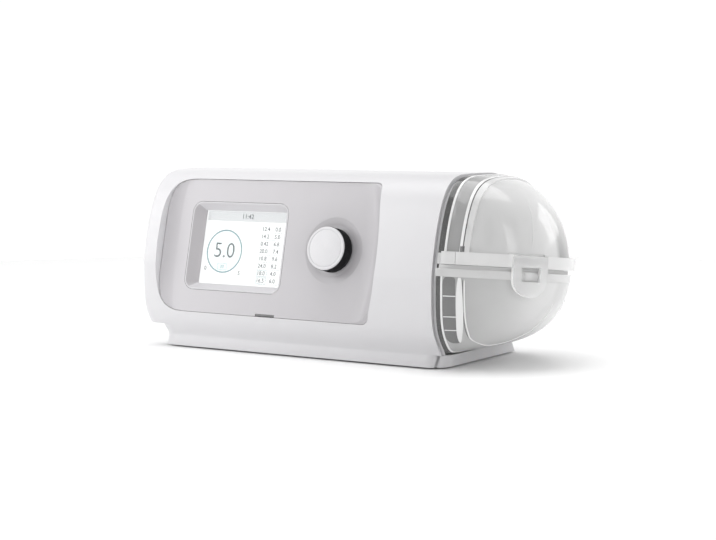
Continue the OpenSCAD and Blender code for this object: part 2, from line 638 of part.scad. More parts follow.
module muffler_foam() color([0.35, 0.35, 0.38]) {
  difference() {
    translate([cx0 + 10.3, cy0 + 2.3, cz0 + 2.1]) cube([cx1 - cx0 - 12.6, cy1 - cy0 - 12.6, deck_z - cz0 - 8]);
    // winding air way
    for (k = [0 : 2]) translate([cx0 + 22 + k * 24, cy0 + (k % 2) * 14 - 1, cz0 + 8]) cube([9, cy1 - cy0 - 26, 60]);
    translate([fx - 8, cy1 - 22, fz - 12]) cube([16, 20, 24]);
  }
}
module scroll_2d(e) {
  difference() {
    union() {
      circle(r = blower_r + e, $fn = 72);
      translate([0, p1y - bwy - duct_r - e]) square([blower_r + 12 + e, 2 * duct_r + 2 * e]);
    }
  }
}
module blower_lower() color([0.25, 0.25, 0.28]) translate([bwx, bwy, bwz]) {
  difference() {
    translate([0, 0, -blower_h / 2]) linear_extrude(blower_h / 2 - 0.05) scroll_2d(0);
    translate([0, 0, -blower_h / 2 + 1.6]) linear_extrude(blower_h) scroll_2d(-1.6);
    translate([0, 0, -blower_h]) cylinder(r = 9, h = blower_h);
    translate([10, p1y - bwy, 0]) rotate([0, 90, 0]) cylinder(r = duct_r - duct_wall, h = 60);
  }
  for (a = [90, 210, 330]) difference() {
    translate([20 * cos(a), 20 * sin(a), -blower_h / 2 - 2.4]) cylinder(r = 3.4, h = 2.6);
    translate([20 * cos(a), 20 * sin(a), -blower_h / 2 - 3]) cylinder(r = 1.6, h = 2.6);
  }
}
module blower_upper() color([0.28, 0.28, 0.3]) translate([bwx, bwy, bwz]) {
  difference() {
    translate([0, 0, 0.05]) linear_extrude(blower_h / 2 - 0.05) scroll_2d(0);
    translate([0, 0, -1]) linear_extrude(blower_h / 2 - 0.6) scroll_2d(-1.6);
    translate([0, 0, 0]) cylinder(r = 11.2, h = blower_h);
    translate([10, p1y - bwy, 0]) rotate([0, 90, 0]) cylinder(r = duct_r - duct_wall, h = 60);
  }
}
module motor_can() color([0.6, 0.6, 0.62]) translate([bwx, bwy, bwz]) {
  difference() {
    union() {
      translate([0, 0, 3]) cylinder(r = 11, h = blower_h / 2 - 1.5);
      translate([0, 0, blower_h / 2 + 0.1]) cylinder(r = 13, h = 1.4);
    }
    translate([0, 0, 0]) cylinder(r = 2 + run_gap, h = 10);
  }
}
module motor_shaft() color([0.8, 0.8, 0.82]) translate([bwx, bwy, bwz - blower_h / 2 + 3]) cylinder(r = 2, h = blower_h / 2 + 4);
module impeller() color([0.85, 0.85, 0.87]) translate([bwx, bwy, bwz]) {
  difference() {
    union() {
      translate([0, 0, 1]) cylinder(r = fan_r, h = 1.2);
      translate([0, 0, -6]) cylinder(r = 4.5, h = 8);
      for (k = [0 : fan_blades - 1]) rotate([0, 0, k * 360 / fan_blades]) translate([8, -0.5, -7]) rotate([0, 0, -28]) cube([fan_r - 8.6, 1, 8.5]);
    }
    translate([0, 0, -20]) cylinder(r = 2 + 0.02, h = 30);
  }
}
module blower_mounts() color([0.15, 0.15, 0.16]) {
  for (a = [90, 210, 330]) translate([bwx + 20 * cos(a), bwy + 20 * sin(a), 0]) {
    translate([0, 0, deck_z + 0.05]) cylinder(r = 3.2, h = bwz - blower_h / 2 - 2.45 - deck_z - 0.05);
    translate([0, 0, deck_z - 1.9]) cylinder(r = 1.8, h = 3);
    translate([0, 0, bwz - blower_h / 2 - 3]) cylinder(r = 1.5, h = 2.2);
  }
}
module blower_duct() color([0.2, 0.2, 0.22]) {
  x0 = bwx + blower_r + 12.3;
  translate([x0, p1y, port_z]) rotate([0, 90, 0]) difference() {
    union() {
      cylinder(r = duct_r, h = port_wall_x - x0 - 0.2);
      for (k = [0 : 5]) translate([0, 0, 30 + k * 4]) cylinder(r = duct_r + 1, h = 1.6);
      translate([0, 0, port_wall_x - x0 - 3.2]) cylinder(r = duct_r + 2.5, h = 3);
    }
    translate([0, 0, -1]) cylinder(r = duct_r - duct_wall, h = 200);
  }
}
module flow_sensor() color([0.15, 0.3, 0.5]) {
  x0 = bwx + blower_r + 22;
  difference() {
    translate([x0, p1y - 8, port_z - duct_r - 7]) cube([14, 16, 8.5]);
    translate([x0 - 1, p1y, port_z]) rotate([0, 90, 0]) cylinder(r = duct_r + 0.1, h = 20);
  }
}
module outlet_duct() color([0.2, 0.2, 0.22]) {
  difference() {
    union() {
      translate([hx, p2y, port_z]) rotate([0, 90, 0]) cylinder(r = duct_r, h = port_wall_x - hx - 0.2);
      translate([port_wall_x - 3.2, p2y, port_z]) rotate([0, 90, 0]) cylinder(r = duct_r + 2.5, h = 3);
      translate([hx, p2y, port_z]) sphere(r = duct_r);
      translate([hx, p2y, port_z]) rotate([-90, 0, 0]) cylinder(r = duct_r, h = out_y - 0.2 - p2y);
    }
    translate([hx, p2y, port_z]) rotate([0, 90, 0]) cylinder(r = duct_r - duct_wall, h = 90);
    translate([hx, p2y, port_z]) rotate([-90, 0, 0]) cylinder(r = duct_r - duct_wall, h = 90);
    translate([hx, p2y, port_z]) sphere(r = duct_r - duct_wall);
  }
}
module hose_outlet() color([0.93, 0.93, 0.94]) {
  y0 = out_y;
  y1 = yc + half_depth + hose_y;
  translate([hx, 0, port_z]) rotate([-90, 0, 0]) difference() {
    union() {
      translate([0, 0, y0]) cylinder(r = hose_r, h = y1 - y0);
      translate([0, 0, y0]) cylinder(r = hose_r + hose_step, h = y1 - hose_seat - y0);
      translate([0, 0, y0]) cylinder(r = hose_r + hose_step + 1.6, h = 1.8);
    }
    translate([0, 0, y0 - 1]) cylinder(r = duct_r - duct_wall + 0.6, h = 90);
  }
}
module air_filter() color([0.75, 0.78, 0.8]) {
  translate([fx - filter_w / 2 + 0.3, fil_y - 9, fz - filter_h / 2 + 0.3]) cube([filter_w - 0.6, 5.6, filter_h - 0.6]);
}
module filter_cover() color([0.9, 0.9, 0.91]) {
  difference() {
    union() {
      translate([fx - filter_w / 2 - 2.7, fil_y - 2.9, fz - filter_h / 2 - 2.7]) cube([filter_w + 5.4, 2.9, filter_h + 5.4]);
      translate([fx - 9, fil_y - 0.1, fz + filter_h / 2 - 1]) cube([18, 1.2, 2]);
    }
    for (k = [0 : 6]) translate([fx - filter_w / 2 + 3, fil_y - 5, fz - filter_h / 2 + 3 + k * 5.2]) cube([filter_w - 6, 10, 2.4]);
  }
}

// ---------------- electronics ----------------
module main_board() color([0.1, 0.4, 0.25]) {
  difference() {
    union() {
      translate([mb0, yc - 26, board_z + 0.05]) cube([mb1 - mb0, 68, pcb_t]);
      translate([mb0 + 8, yc - 16, board_z + pcb_t]) cube([16, 16, 6]);
      translate([mb0 + 32, yc - 14, board_z + pcb_t]) cube([12, 12, 2]);
      for (k = [0 : 2]) translate([mb0 + 14 + k * 14, yc + 14, board_z + pcb_t]) cylinder(r = 4, h = 11);
      translate([mb0 + 3, yc + 4, board_z + pcb_t]) cube([6, 20, 7]);
    }
    for (x = [mb0 + 5, mb1 - 5]) for (y = [yc - 22, yc + 38]) translate([x, y, board_z - 1]) cylinder(r = screw_hole_r + 0.1, h = 6);
  }
}
module board_screws() color([0.75, 0.75, 0.77]) {
  for (x = [mb0 + 5, mb1 - 5]) for (y = [yc - 22, yc + 38]) {
    translate([x, y, board_z - 8]) cylinder(r = screw_r, h = 8 + pcb_t + 0.15);
    difference() {
      translate([x, y, board_z + pcb_t + 0.1]) cylinder(r = head_r, h = 1.8);
      translate([x, y, board_z + pcb_t + 0.9]) cylinder(r = 1.3, h = 2, $fn = 6);
    }
  }
}
module dc_jack() color([0.12, 0.12, 0.13]) {
  y1 = 2 * yc - panel_y + (panel_z - jz) * tan(panel_tilt);
  difference() {
    union() {
      translate([jx - 6, y1 - 26, board_z + pcb_t + 0.1]) cube([12, 21, jz + 6 - board_z - pcb_t - 0.1]);
      translate([jx, y1 - 24, jz]) rotate([-90, 0, 0]) cylinder(r = jack_r + 1.5, h = 24.6);
    }
    translate([jx, y1 - 10, jz]) rotate([-90, 0, 0]) cylinder(r = jack_r, h = 30);
  }
  translate([jx, y1 - 11, jz]) rotate([-90, 0, 0]) cylinder(r = 1, h = 9);
}

// ---------------- dock ----------------
ring_d = wall + plate_gap;
module dock_ring() color([0.95, 0.95, 0.96]) {
  difference() {
    bar_x(xs - 13.7, xs + ring_out, outline_yz(ring_d, waist_z + 0.4));
    bar_x(xs - 20, xs + 10, outline_yz(ring_d + ring_wall, waist_z + 0.4 + ring_wall));
  }
}
module dock_liner() color([0.82, 0.82, 0.85]) {
  g = 1;
  hi = tub_half + g;
  difference() {
    union() {
      bar_x(xs - 16, xs - 14, outline_yz(ring_d + 0.2, waist_z - 0.4));
      translate([liner_x - 2, yc - hi - 2, tub_z - 4]) cube([xs - 14 - liner_x + 2, 2 * hi + 4, tub_top - tub_z + 8]);
      translate([port_wall_x, up0 - 2, tub_top]) cube([xs - 14 - port_wall_x, up1 - up0 + 4, up2 + 2 - tub_top]);
    }
    translate([liner_x, yc - hi, tub_z - 2]) cube([xs - liner_x, 2 * hi, tub_top - tub_z + 4]);
    translate([port_wall_x + 2, up0, tub_top - 3]) cube([xs - port_wall_x, up1 - up0, up2 + 3 - tub_top]);
    translate([hp0 - 0.2, hpy0 - 0.2, 0]) cube([hp1 - hp0 + 0.4, hpy1 - hpy0 + 0.4, tub_z]);
    for (y = [p1y, p2y]) translate([port_wall_x - 1, y, port_z]) rotate([0, 90, 0]) cylinder(r = duct_r - duct_wall, h = 6);
  }
}
up0 = p1y - port_r - 2;
up1 = p2y + port_r + 1.6;
up2 = port_z + port_r + 1;
hp0 = xs - tub_in + 6;
hp1 = xs - 17;
hpy0 = yc - 30;
hpy1 = yc + 30;
module port_seals() color([0.25, 0.25, 0.27]) {
  x0 = port_wall_x + 2.1;
  for (y = [p1y, p2y]) translate([x0, y, port_z]) rotate([0, 90, 0]) difference() {
    union() {
      cylinder(r = port_r, h = 1.2);
      cylinder(r = port_r - 1.6, h = xs - 25.5 - move_gap - x0);
      translate([0, 0, xs - 25.5 - move_gap - x0 - 1]) cylinder(r = port_r - 0.4, h = 1);
    }
    translate([0, 0, -1]) cylinder(r = duct_r - duct_wall, h = 20);
  }
}
module heater_plate() color([0.75, 0.75, 0.77]) {
  translate([hp0, hpy0, tub_z - 4.4]) cube([hp1 - hp0, hpy1 - hpy0, 4.4 - move_gap]);
  translate([hp0 - 0.1, hpy0 + 8, tub_z - 6.4]) cube([hp1 - hp0, hpy1 - hpy0 - 16, 2.1]);
}
module heater_insulator() color([0.9, 0.88, 0.8]) {
  difference() {
    translate([hp0 - 1, hpy0 - 1, skirt_z + 2.7]) cube([hp1 - hp0 + 2, hpy1 - hpy0 + 2, tub_z - 4.5 - skirt_z - 2.7]);
    translate([hp0 - 0.3, hpy0 + 7.8, tub_z - 6.5]) cube([hp1 - hp0 + 0.4, hpy1 - hpy0 - 15.6, 5]);
    for (x = [xs - 40, xs - 12]) for (y = [yc - 26, yc + 26]) translate([x, y, 0]) cylinder(r = 3.2, h = 9);
  }
}

// ---------------- tank ----------------
// Dome solid with its skin set in by w; xs is its flat side
function dome_ring(z, ax, h, n) = [for (i = [0 : n]) let (t = -90 + 180 * i / n) [xs + ax * cos(t), yc + h * sin(t), z]];
module dome(w, nz = 7, n = 20) {
  pd = 2.15;
  pu = 2.35;
  loft([
    for (i = [0 : nz - 1]) let (f = 86 * (1 - i / nz), z = dome_z - (dome_down - w) * pow(sin(f), 2 / pd))
      dome_ring(z, (dome_len - w) * pow(cos(f), 2 / pd), half(z, w + 0.25), n),
    for (i = [0 : nz]) let (f = 87 * i / nz, z = dome_z + (dome_up - w) * pow(sin(f), 2 / pu))
      dome_ring(z, (dome_len - w) * pow(cos(f), 2 / pu), half(z, w + 0.25 + 0.5 * sin(f)), n)]);
}
// Frame of the falling flange: local Z = 0 is its top
ff_y = -73;
module on_flange() { translate([0, ff_y, flange_z]) rotate([-flange_fall, 0, 0]) children(); }
function flange_top(y) = flange_z - (y - ff_y) * tan(flange_fall);
fl_half = half(72);
// D outline set out by e, from xa; local Y runs down the fall
// Back of the flange's outline at x, grown by e
function flange_y(x, e = 0) = yc + (fl_half + e) * sqrt(max(0, 1 - pow((x - xs) / (dome_len + e), 2)));
function d_line(e, xa) = let (ax = dome_len + e, h = fl_half + e, s = (xa - xs) / ax, t0 = acos(min(1, max(0, s))), k = 24)
  [for (i = [0 : k]) let (t = -t0 + 2 * t0 * i / k) [xs + ax * cos(t), (yc + h * sin(t) - ff_y) / cos(flange_fall)]];
module half_space(z0, up) {
  on_flange() translate([-200, -60, up ? z0 : z0 - 200]) cube([400, 260, 200]);
}
tk0 = xs + ring_out + 0.7;
cov1 = xs + split_x - move_gap / 2;
lid0 = xs + split_x + move_gap / 2;
fl0 = xs + 8;
gz = flange_h + gasket_t + 0.3;
hinge_y = yc + fl_half + hinge_out;
hinge_zl = -9.6;
hinge_x0 = lid0 + 1.2;
kn = [3.2, 6.4, 3.2];
module hinge_frame() { on_flange() translate([0, (hinge_y - ff_y) / cos(flange_fall), hinge_zl]) rotate([0, 90, 0]) children(); }

module tank_tub() color([0.85, 0.87, 0.89, 0.5]) {
  difference() {
    union() {
      difference() {
        intersection() {
          dome(0);
          half_space(-gz, false);
          translate([tk0, -200, 0]) cube([200, 400, 200]);
        }
        intersection() {
          dome(tank_wall);
          translate([tk0 + tank_wall, -200, 0]) cube([200, 400, 200]);
        }
      }
      // rim
      intersection() {
        on_flange() translate([0, 0, -gz - rim_h]) linear_extrude(rim_h) difference() {
          polygon(d_line(1, tk0));
          polygon(d_line(-tank_wall - 1.6, tk0 + tank_wall + 1.6));
        }
        translate([tk0, -200, 0]) cube([200, 400, 200]);
      }
      // part of the tub inside the dock
      translate([xs - tub_in, yc - tub_half, tub_z]) cube([tk0 - xs + tub_in + 0.5, 2 * tub_half, tub_top - tub_z]);
      // catch under the latch
      latch_sector(0.2, 1.55, -gz - rim_h + 0.4, 3, 5);
      // hinge knuckles and their webs
      for (x = [hinge_x0, hinge_x0 + kn[0] + kn[1] + 0.6]) {
        hinge_frame() translate([0, 0, x]) cylinder(r = hinge_r, h = kn[0]);
        let (y0 = flange_y(x + kn[0], -0.8)) on_flange() translate([x, (y0 - ff_y) / cos(flange_fall), -gz - rim_h + 0.8]) cube([kn[0], (hinge_y - y0) / cos(flange_fall), rim_h - 0.8]);
      }
    }
    translate([xs - tub_in + 2, yc - tub_half + 2, tub_z + 2.4]) cube([tk0 - xs + tub_in + 0.6, 2 * tub_half - 4, tub_top - tub_z - 4.4]);
    // seat of the metal plate
    translate([hp0 - 4, hpy0 + 1, tub_z - 1]) cube([hp1 - hp0 + 4, hpy1 - hpy0 - 2, 2.2]);
    translate([hp0 - 1, hpy0 + 4, tub_z - 1]) cube([hp1 - hp0 - 2, hpy1 - hpy0 - 8, 6]);
    hinge_frame() translate([0, 0, hinge_x0 - 1]) cylinder(r = hinge_pin_r + 0.02, h = 40);
    // room for the gasket's lip
    on_flange() translate([0, 0, -gz - 0.6]) linear_extrude(3) difference() {
      polygon(d_line(-0.9, tk0 + 1));
      polygon(d_line(-2.9, tk0 + 3));
    }
  }
}
module tank_plate() color([0.78, 0.78, 0.8]) {
  translate([hp0 - 3.9, hpy0 + 1.1, tub_z]) cube([hp1 - hp0 + 3.8, hpy1 - hpy0 - 2.2, 1.1]);
  translate([hp0 - 0.8, hpy0 + 4.2, tub_z + 1]) cube([hp1 - hp0 - 2.4, hpy1 - hpy0 - 8.4, 1.4]);
}
module tank_gasket() color([0.7, 0.7, 0.72]) on_flange() {
  translate([0, 0, -gz - 0.5]) linear_extrude(gasket_t + 0.6) difference() {
    polygon(d_line(-1, tk0 + 1.1));
    polygon(d_line(-2.8, tk0 + 2.9));
  }
}
module tank_cover() color([0.88, 0.9, 0.92, 0.5]) {
  difference() {
    union() {
      intersection() {
        dome(0);
        half_space(-flange_h, true);
        translate([tk0, -200, 0]) cube([cov1 - tk0, 400, 200]);
      }
      intersection() {
        on_flange() translate([0, 0, -flange_h]) linear_extrude(flange_h) polygon(d_line(flange_out, fl0));
        translate([fl0, -200, 0]) cube([cov1 - fl0, 400, 200]);
      }
      for (y = [p1y, p2y]) translate([xs - 25.5, y, port_z]) rotate([0, 90, 0]) cylinder(r = port_r, h = tk0 - xs + 26);
    }
    intersection() {
      dome(tank_wall);
      translate([tk0 + tank_wall, -200, 0]) cube([cov1 - tk0 - 2 * tank_wall, 400, 200]);
    }
    for (y = [p1y, p2y]) translate([xs - 30, y, port_z]) rotate([0, 90, 0]) cylinder(r = port_r - 1.8, h = tk0 - xs + 30 + tank_wall + 1);
    // ways into the lid's side
    for (y = [p1y, p2y]) translate([cov1 - 5, y, port_z]) rotate([0, 90, 0]) cylinder(r = 9, h = 10);
  }
}
module tank_lid() color([0.88, 0.9, 0.92, 0.5]) {
  difference() {
    union() {
      difference() {
        intersection() {
          dome(0);
          half_space(-flange_h, true);
          translate([lid0, -200, 0]) cube([200, 400, 200]);
        }
        dome(tank_wall);
      }
      // edge band
      intersection() {
        difference() {
          dome(-0.8);
          dome(tank_wall);
        }
        half_space(-flange_h + 1, true);
        translate([lid0, -200, 0]) cube([band_w, 400, 200]);
      }
      intersection() {
        on_flange() translate([0, 0, -flange_h]) linear_extrude(flange_h) difference() {
          polygon(d_line(flange_out, xs + 1));
          polygon(d_line(-tank_wall - 0.4, xs + 1));
        }
        translate([lid0, -200, 0]) cube([200, 400, 200]);
      }
      hinge_frame() translate([0, 0, hinge_x0 + kn[0] + 0.3]) cylinder(r = hinge_r, h = kn[1]);
      let (x = hinge_x0 + kn[0] + 0.3, y0 = flange_y(x + kn[1], 1)) on_flange() translate([x, (y0 - ff_y) / cos(flange_fall), -hinge_r - 2.8]) cube([kn[1], (hinge_y - y0) / cos(flange_fall) + 0.6, hinge_r + 2.8]);
      on_flange() translate([hinge_x0 + kn[0] + 0.3, (hinge_y - ff_y) / cos(flange_fall) - 1.6, hinge_zl + 1]) cube([kn[1], 3.2, 8]);
    }
    hinge_frame() translate([0, 0, hinge_x0 - 1]) cylinder(r = hinge_pin_r + run_gap, h = 40);
    // notch for the latch, and its pin holes
    latch_sector(-1.5, 9, -flange_h - 1, latch_w / 2 + move_gap, flange_h + 2, 0);
    latch_pin_at(hinge_pin_r * 0.57 + 0.02, latch_w / 2 + 2.2);
  }
}
module hinge_pin() color([0.8, 0.8, 0.82]) hinge_frame() translate([0, 0, hinge_x0 + 0.1]) cylinder(r = hinge_pin_r, h = kn[0] * 2 + kn[1] + 0.4);

// Middle of the latch on the flange: a point of the D outline and its outward direction
la = -latch_a;
lmx = xs + dome_len * cos(la);
lmy = yc + fl_half * sin(la);
ln_a = atan2(dome_len * sin(la), fl_half * cos(la));
module on_latch() { on_flange() translate([lmx, (lmy - ff_y) / cos(flange_fall), 0]) rotate([0, 0, ln_a]) children(); }
// Piece of the flange's ring at the latch, between two set-outs, w wide each way
module latch_sector(e0, e1, z0, w, h, bend = 0) {
  intersection() {
    on_flange() translate([0, 0, z0]) linear_extrude(h) difference() {
      polygon(d_line(e1, xs + 20));
      polygon(d_line(e0, xs + 10));
    }
    on_latch() translate([-12, -w, -60]) cube([24 + bend, 2 * w, 80]);
  }
}
module latch_pin_at(r, w) { on_latch() translate([0.7, -w, -3.2]) rotate([-90, 0, 0]) cylinder(r = r, h = 2 * w); }
module latch_pin() color([0.8, 0.8, 0.82]) latch_pin_at(hinge_pin_r * 0.57, latch_w / 2 + 2);
module lid_latch() color([0.9, 0.91, 0.93, 0.8]) {
  difference() {
    union() {
      intersection() {
        latch_sector(1.9, flange_out + 0.5, -latch_len, latch_w / 2, latch_len - 0.4);
        // shield shape: straight sides and a round lower end
        on_latch() translate([-20, 0, -latch_len]) rotate([90, 0, 90]) linear_extrude(60) union() {
          translate([0, latch_w * 0.42]) scale([1, 0.84]) circle(r = latch_w / 2, $fn = 48);
          translate([-latch_w / 2, latch_w * 0.42]) square([latch_w, latch_len]);
        }
      }
      on_latch() translate([0.7, -latch_w / 2, -3.2]) rotate([-90, 0, 0]) cylinder(r = 1.75, h = latch_w);
      intersection() {
        latch_sector(0.8, 3, -4.8, latch_w / 2, 3.2);
        on_latch() translate([0.3, -latch_w / 2, -5.5]) cube([6, latch_w, 4.6]);
      }
    }
    // window
    on_latch() translate([-10, -7, -16.9]) cube([30, 14, 9.2]);
    latch_pin_at(hinge_pin_r * 0.57 + run_gap, latch_w);
  }
}

main_housing();
base_pan();
rear_cover();
front_panel();
display_bezel();
display_lens();
lcd_module();
display_board();
sensor_window();
encoder_body();
encoder_nut();
chamber_base();
chamber_lid();
muffler_foam();
blower_lower();
blower_upper();
motor_can();
blower_mounts();
blower_duct();
air_filter();
main_board();
dc_jack();
outlet_duct();
hose_outlet();
flow_sensor();
dock_ring();
dock_liner();
port_seals();
heater_plate();
heater_insulator();
rubber_feet();
base_screws();
rear_screws();
board_screws();
filter_cover();
encoder_plunger();
encoder_shaft();
knob_ring();
knob_cap();
impeller();
motor_shaft();
tank_tub();
tank_plate();
tank_cover();
tank_gasket();
hinge_pin();
tank_lid();
latch_pin();
lid_latch();
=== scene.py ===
# %% [markdown]
# A bedside airway pressure machine with a clear, docked water tank.
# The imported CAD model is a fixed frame. This notebook dresses it: each shell that shows is built
# again with many more faces and softened edges, in the same place and at the same size.

# %% Load the frame
import json
import math
import bpy
import bmesh
import numpy as np
from mathutils import Matrix, Vector

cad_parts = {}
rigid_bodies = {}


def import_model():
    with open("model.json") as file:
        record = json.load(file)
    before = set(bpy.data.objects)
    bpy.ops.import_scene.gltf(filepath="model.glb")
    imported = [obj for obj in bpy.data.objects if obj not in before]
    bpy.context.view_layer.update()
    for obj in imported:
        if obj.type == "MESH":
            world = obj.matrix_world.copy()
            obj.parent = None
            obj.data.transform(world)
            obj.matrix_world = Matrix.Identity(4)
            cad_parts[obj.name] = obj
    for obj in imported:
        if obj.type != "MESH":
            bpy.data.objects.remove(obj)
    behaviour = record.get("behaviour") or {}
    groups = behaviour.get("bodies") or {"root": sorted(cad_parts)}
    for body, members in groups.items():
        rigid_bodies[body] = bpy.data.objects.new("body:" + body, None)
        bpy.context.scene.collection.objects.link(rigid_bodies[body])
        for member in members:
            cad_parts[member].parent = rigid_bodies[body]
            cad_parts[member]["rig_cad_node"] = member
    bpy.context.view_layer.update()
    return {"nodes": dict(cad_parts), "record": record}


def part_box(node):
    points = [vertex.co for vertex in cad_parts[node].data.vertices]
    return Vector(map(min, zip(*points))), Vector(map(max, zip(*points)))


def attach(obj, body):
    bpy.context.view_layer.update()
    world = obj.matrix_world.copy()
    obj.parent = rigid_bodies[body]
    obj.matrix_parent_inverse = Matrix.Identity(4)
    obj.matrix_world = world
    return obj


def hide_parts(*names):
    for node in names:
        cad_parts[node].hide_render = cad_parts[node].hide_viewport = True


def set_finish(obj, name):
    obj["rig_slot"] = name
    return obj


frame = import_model()

# %% [markdown]
# Every shell on this machine is swept from a few outlines, so meshes are made from rings of points.
# Helpers come first: lengths are given in millimetres, as on a drawing, and stored in metres.

# %% Meshes from rings and outlines
MM = 0.001
WELD_RINGS, WELD_CUTS = 1e-7, 2e-6


def show(name, data):
    piece = bpy.data.objects.new(name, data)
    bpy.context.scene.collection.objects.link(piece)
    return piece


def add_mesh(name, points, faces):
    data = bpy.data.meshes.new(name)
    data.from_pydata([tuple(c * MM for c in p) for p in points], [], faces)
    bm = bmesh.new()
    bm.from_mesh(data)
    bmesh.ops.remove_doubles(bm, verts=bm.verts, dist=WELD_RINGS)
    bmesh.ops.recalc_face_normals(bm, faces=bm.faces)
    bm.to_mesh(data)
    bm.free()
    return show(name, data)


def loft(name, rings, closed=True):
    n, points = len(rings[0]), [p for ring in rings for p in ring]
    faces = [(i * n + j, i * n + (j + 1) % n, (i + 1) * n + (j + 1) % n, (i + 1) * n + j)
             for i in range(len(rings) - 1) for j in range(n)]
    if closed:
        faces += [tuple(range(n)), tuple((len(rings) - 1) * n + j for j in range(n))]
    return add_mesh(name, points, faces)


def place(rings, turn):
    return [[tuple(turn @ Vector(p)) for p in ring] for ring in rings]


def prism(name, outline, z0, z1, turn=Matrix.Identity(4)):
    """An outline drawn out from one level to another."""
    return loft(name, place([[(x, y, z) for x, y in outline] for z in (z0, z1)], turn))


def along_x(name, outline, x0, x1):
    """An outline in Y and Z, drawn out along X."""
    return loft(name, [[(x, y, z) for y, z in outline] for x in (x0, x1)])


def block(name, x0, x1, y0, y1, z0, z1, turn=Matrix.Identity(4)):
    return prism(name, [(x0, y0), (x1, y0), (x1, y1), (x0, y1)], z0, z1, turn)


def circle(r, n=96, x=0.0, y=0.0):
    return [(x + r * math.cos(2 * math.pi * k / n), y + r * math.sin(2 * math.pi * k / n)) for k in range(n)]


def lathe(name, profile, turn=Matrix.Identity(4), n=128, hollow=False):
    """A turned form; a hollow one closes its profile on itself and has no end discs."""
    rings = [[(r * math.cos(2 * math.pi * k / n), r * math.sin(2 * math.pi * k / n), z) for k in range(n)]
             for r, z in profile + profile[:1] * hollow]
    return loft(name, place(rings, turn), closed=not hollow)


def rod(r, z0, z1, turn=Matrix.Identity(4), n=64):
    return lathe("rod", [(r, z0), (r, z1)], turn, n)


print("mesh helpers ready")

# %% [markdown]
# Openings and hollows are carved with booleans, as a mould's slides would leave them. The result is
# turned to a plain mesh at once, and the tool is thrown away.

# %% Carving and softening
def to_plain(piece):
    seen = piece.evaluated_get(bpy.context.evaluated_depsgraph_get())
    data = bpy.data.meshes.new_from_object(seen)
    piece.modifiers.clear()
    old, piece.data = piece.data, data
    bpy.data.meshes.remove(old)
    data.name = piece.name
    return piece


def carve(piece, *tools, how="DIFFERENCE"):
    for tool in tools:
        step = piece.modifiers.new("carve", "BOOLEAN")
        step.operation, step.solver, step.object = how, "EXACT", tool
        to_plain(piece)
        bpy.data.objects.remove(tool)
    return piece


def join(piece, *others):
    return carve(piece, *others, how="UNION")


def keep_inside(piece, *others):
    return carve(piece, *others, how="INTERSECT")


def soften(piece, width=0.0, angle=32):
    """Weld what the cuts left double, round the edges by width and shade the rest smooth."""
    bm = bmesh.new()
    bm.from_mesh(piece.data)
    bmesh.ops.remove_doubles(bm, verts=bm.verts, dist=WELD_CUTS)
    bmesh.ops.dissolve_degenerate(bm, edges=bm.edges, dist=WELD_CUTS)
    bm.to_mesh(piece.data)
    bm.free()
    if width:
        edge = piece.modifiers.new("edge", "BEVEL")
        edge.width, edge.segments = width * MM, 2
        edge.limit_method, edge.angle_limit = "ANGLE", math.radians(angle)
        edge.use_clamp_overlap, edge.miter_outer = True, "MITER_ARC"
    piece.data.shade_smooth()
    if width:
        to_plain(piece)
    piece.data.set_sharp_from_angle(angle=math.radians(angle))
    even = piece.modifiers.new("even", "WEIGHTED_NORMAL")
    even.keep_sharp, even.weight = True, 50
    return to_plain(piece)


print("carving helpers ready")

# %% [markdown]
# The sizes below are the part's own: the housing's end outline, the lean of its flat front and the
# places of the display and the knob.

# %% Sizes of the machine
XL, XS, YC = -153.25, 87.75, -11.0
TOP, HALF, WAIST, FOOT = 126.5, 61.9, 49.2, 53.5
WIDE_Z, WAIST_Z, UNDER_Z, SKIRT_Z = 59.3, 8.8, 16.0, 1.2
WALL, GAP, SKIRT_IN, END_R = 2.5, 0.25, 6.0, 5.0
SKIRT_R, FOOT_R1, FOOT_R2, SLAB_R, SLAB_OUT = 14.0, 11.0, 5.0, 14.0, 3.0
UP_P, UP_Q = 4.76, 1.19
TILT, PANEL_Z, PANEL_H, PANEL_T, LIP = 12.76, 73.4, 95.6, 3.0, 4.0
PANEL_Y = -59.8456
PX0, PX1, BOW, SWEEP, PR = XL + 13.2, XS - 48.7, 6.0, 30.0, 6.0
LX, RX, KX = XL + 77.0, XL + 75.3, XS - 83.8
LCD_W, LCD_H, REC_W, REC_H, REC_R, REC_D = 70.0, 52.6, 83.4, 63.4, 8.0, 5.0


def half(z, d=0.0):
    if z >= WIDE_Z:
        return (HALF - d) * max(0.0, 1 - min(1.0, (z - WIDE_Z) / (TOP - d - WIDE_Z)) ** UP_Q) ** (1 / UP_P)
    if z >= WAIST_Z:
        return WAIST - d + (HALF - WAIST) * (1 - ((WIDE_Z - z) / (WIDE_Z - WAIST_Z)) ** 5) ** 1.7
    return WAIST - d + (FOOT - WAIST) * ((WAIST_Z - z) / (WAIST_Z - SKIRT_Z)) ** 1.5


def end_outline(d, zb):
    """Half widths and levels from zb to the crown and down again."""
    side = [(half(z, d), z) for z in (zb + (WIDE_Z - zb) * (k / 26) ** 1.2 for k in range(26))]
    for k in range(25):
        a = math.radians(60 * k / 24)
        side.append(((HALF - d) * math.cos(a) ** (2 / UP_P),
                     WIDE_Z + (TOP - d - WIDE_Z) * math.sin(a) ** (2 / UP_Q)))
    y1 = side[-1][0]
    for k in range(1, 22):
        y = y1 * (1 - k / 22) + 1e-9
        side.append((y, WIDE_Z + (TOP - d - WIDE_Z) * (1 - (y / (HALF - d)) ** UP_P) ** (1 / UP_Q)))
    return [(YC - y, z) for y, z in side] + [(YC, TOP - d)] + [(YC + y, z) for y, z in reversed(side)]


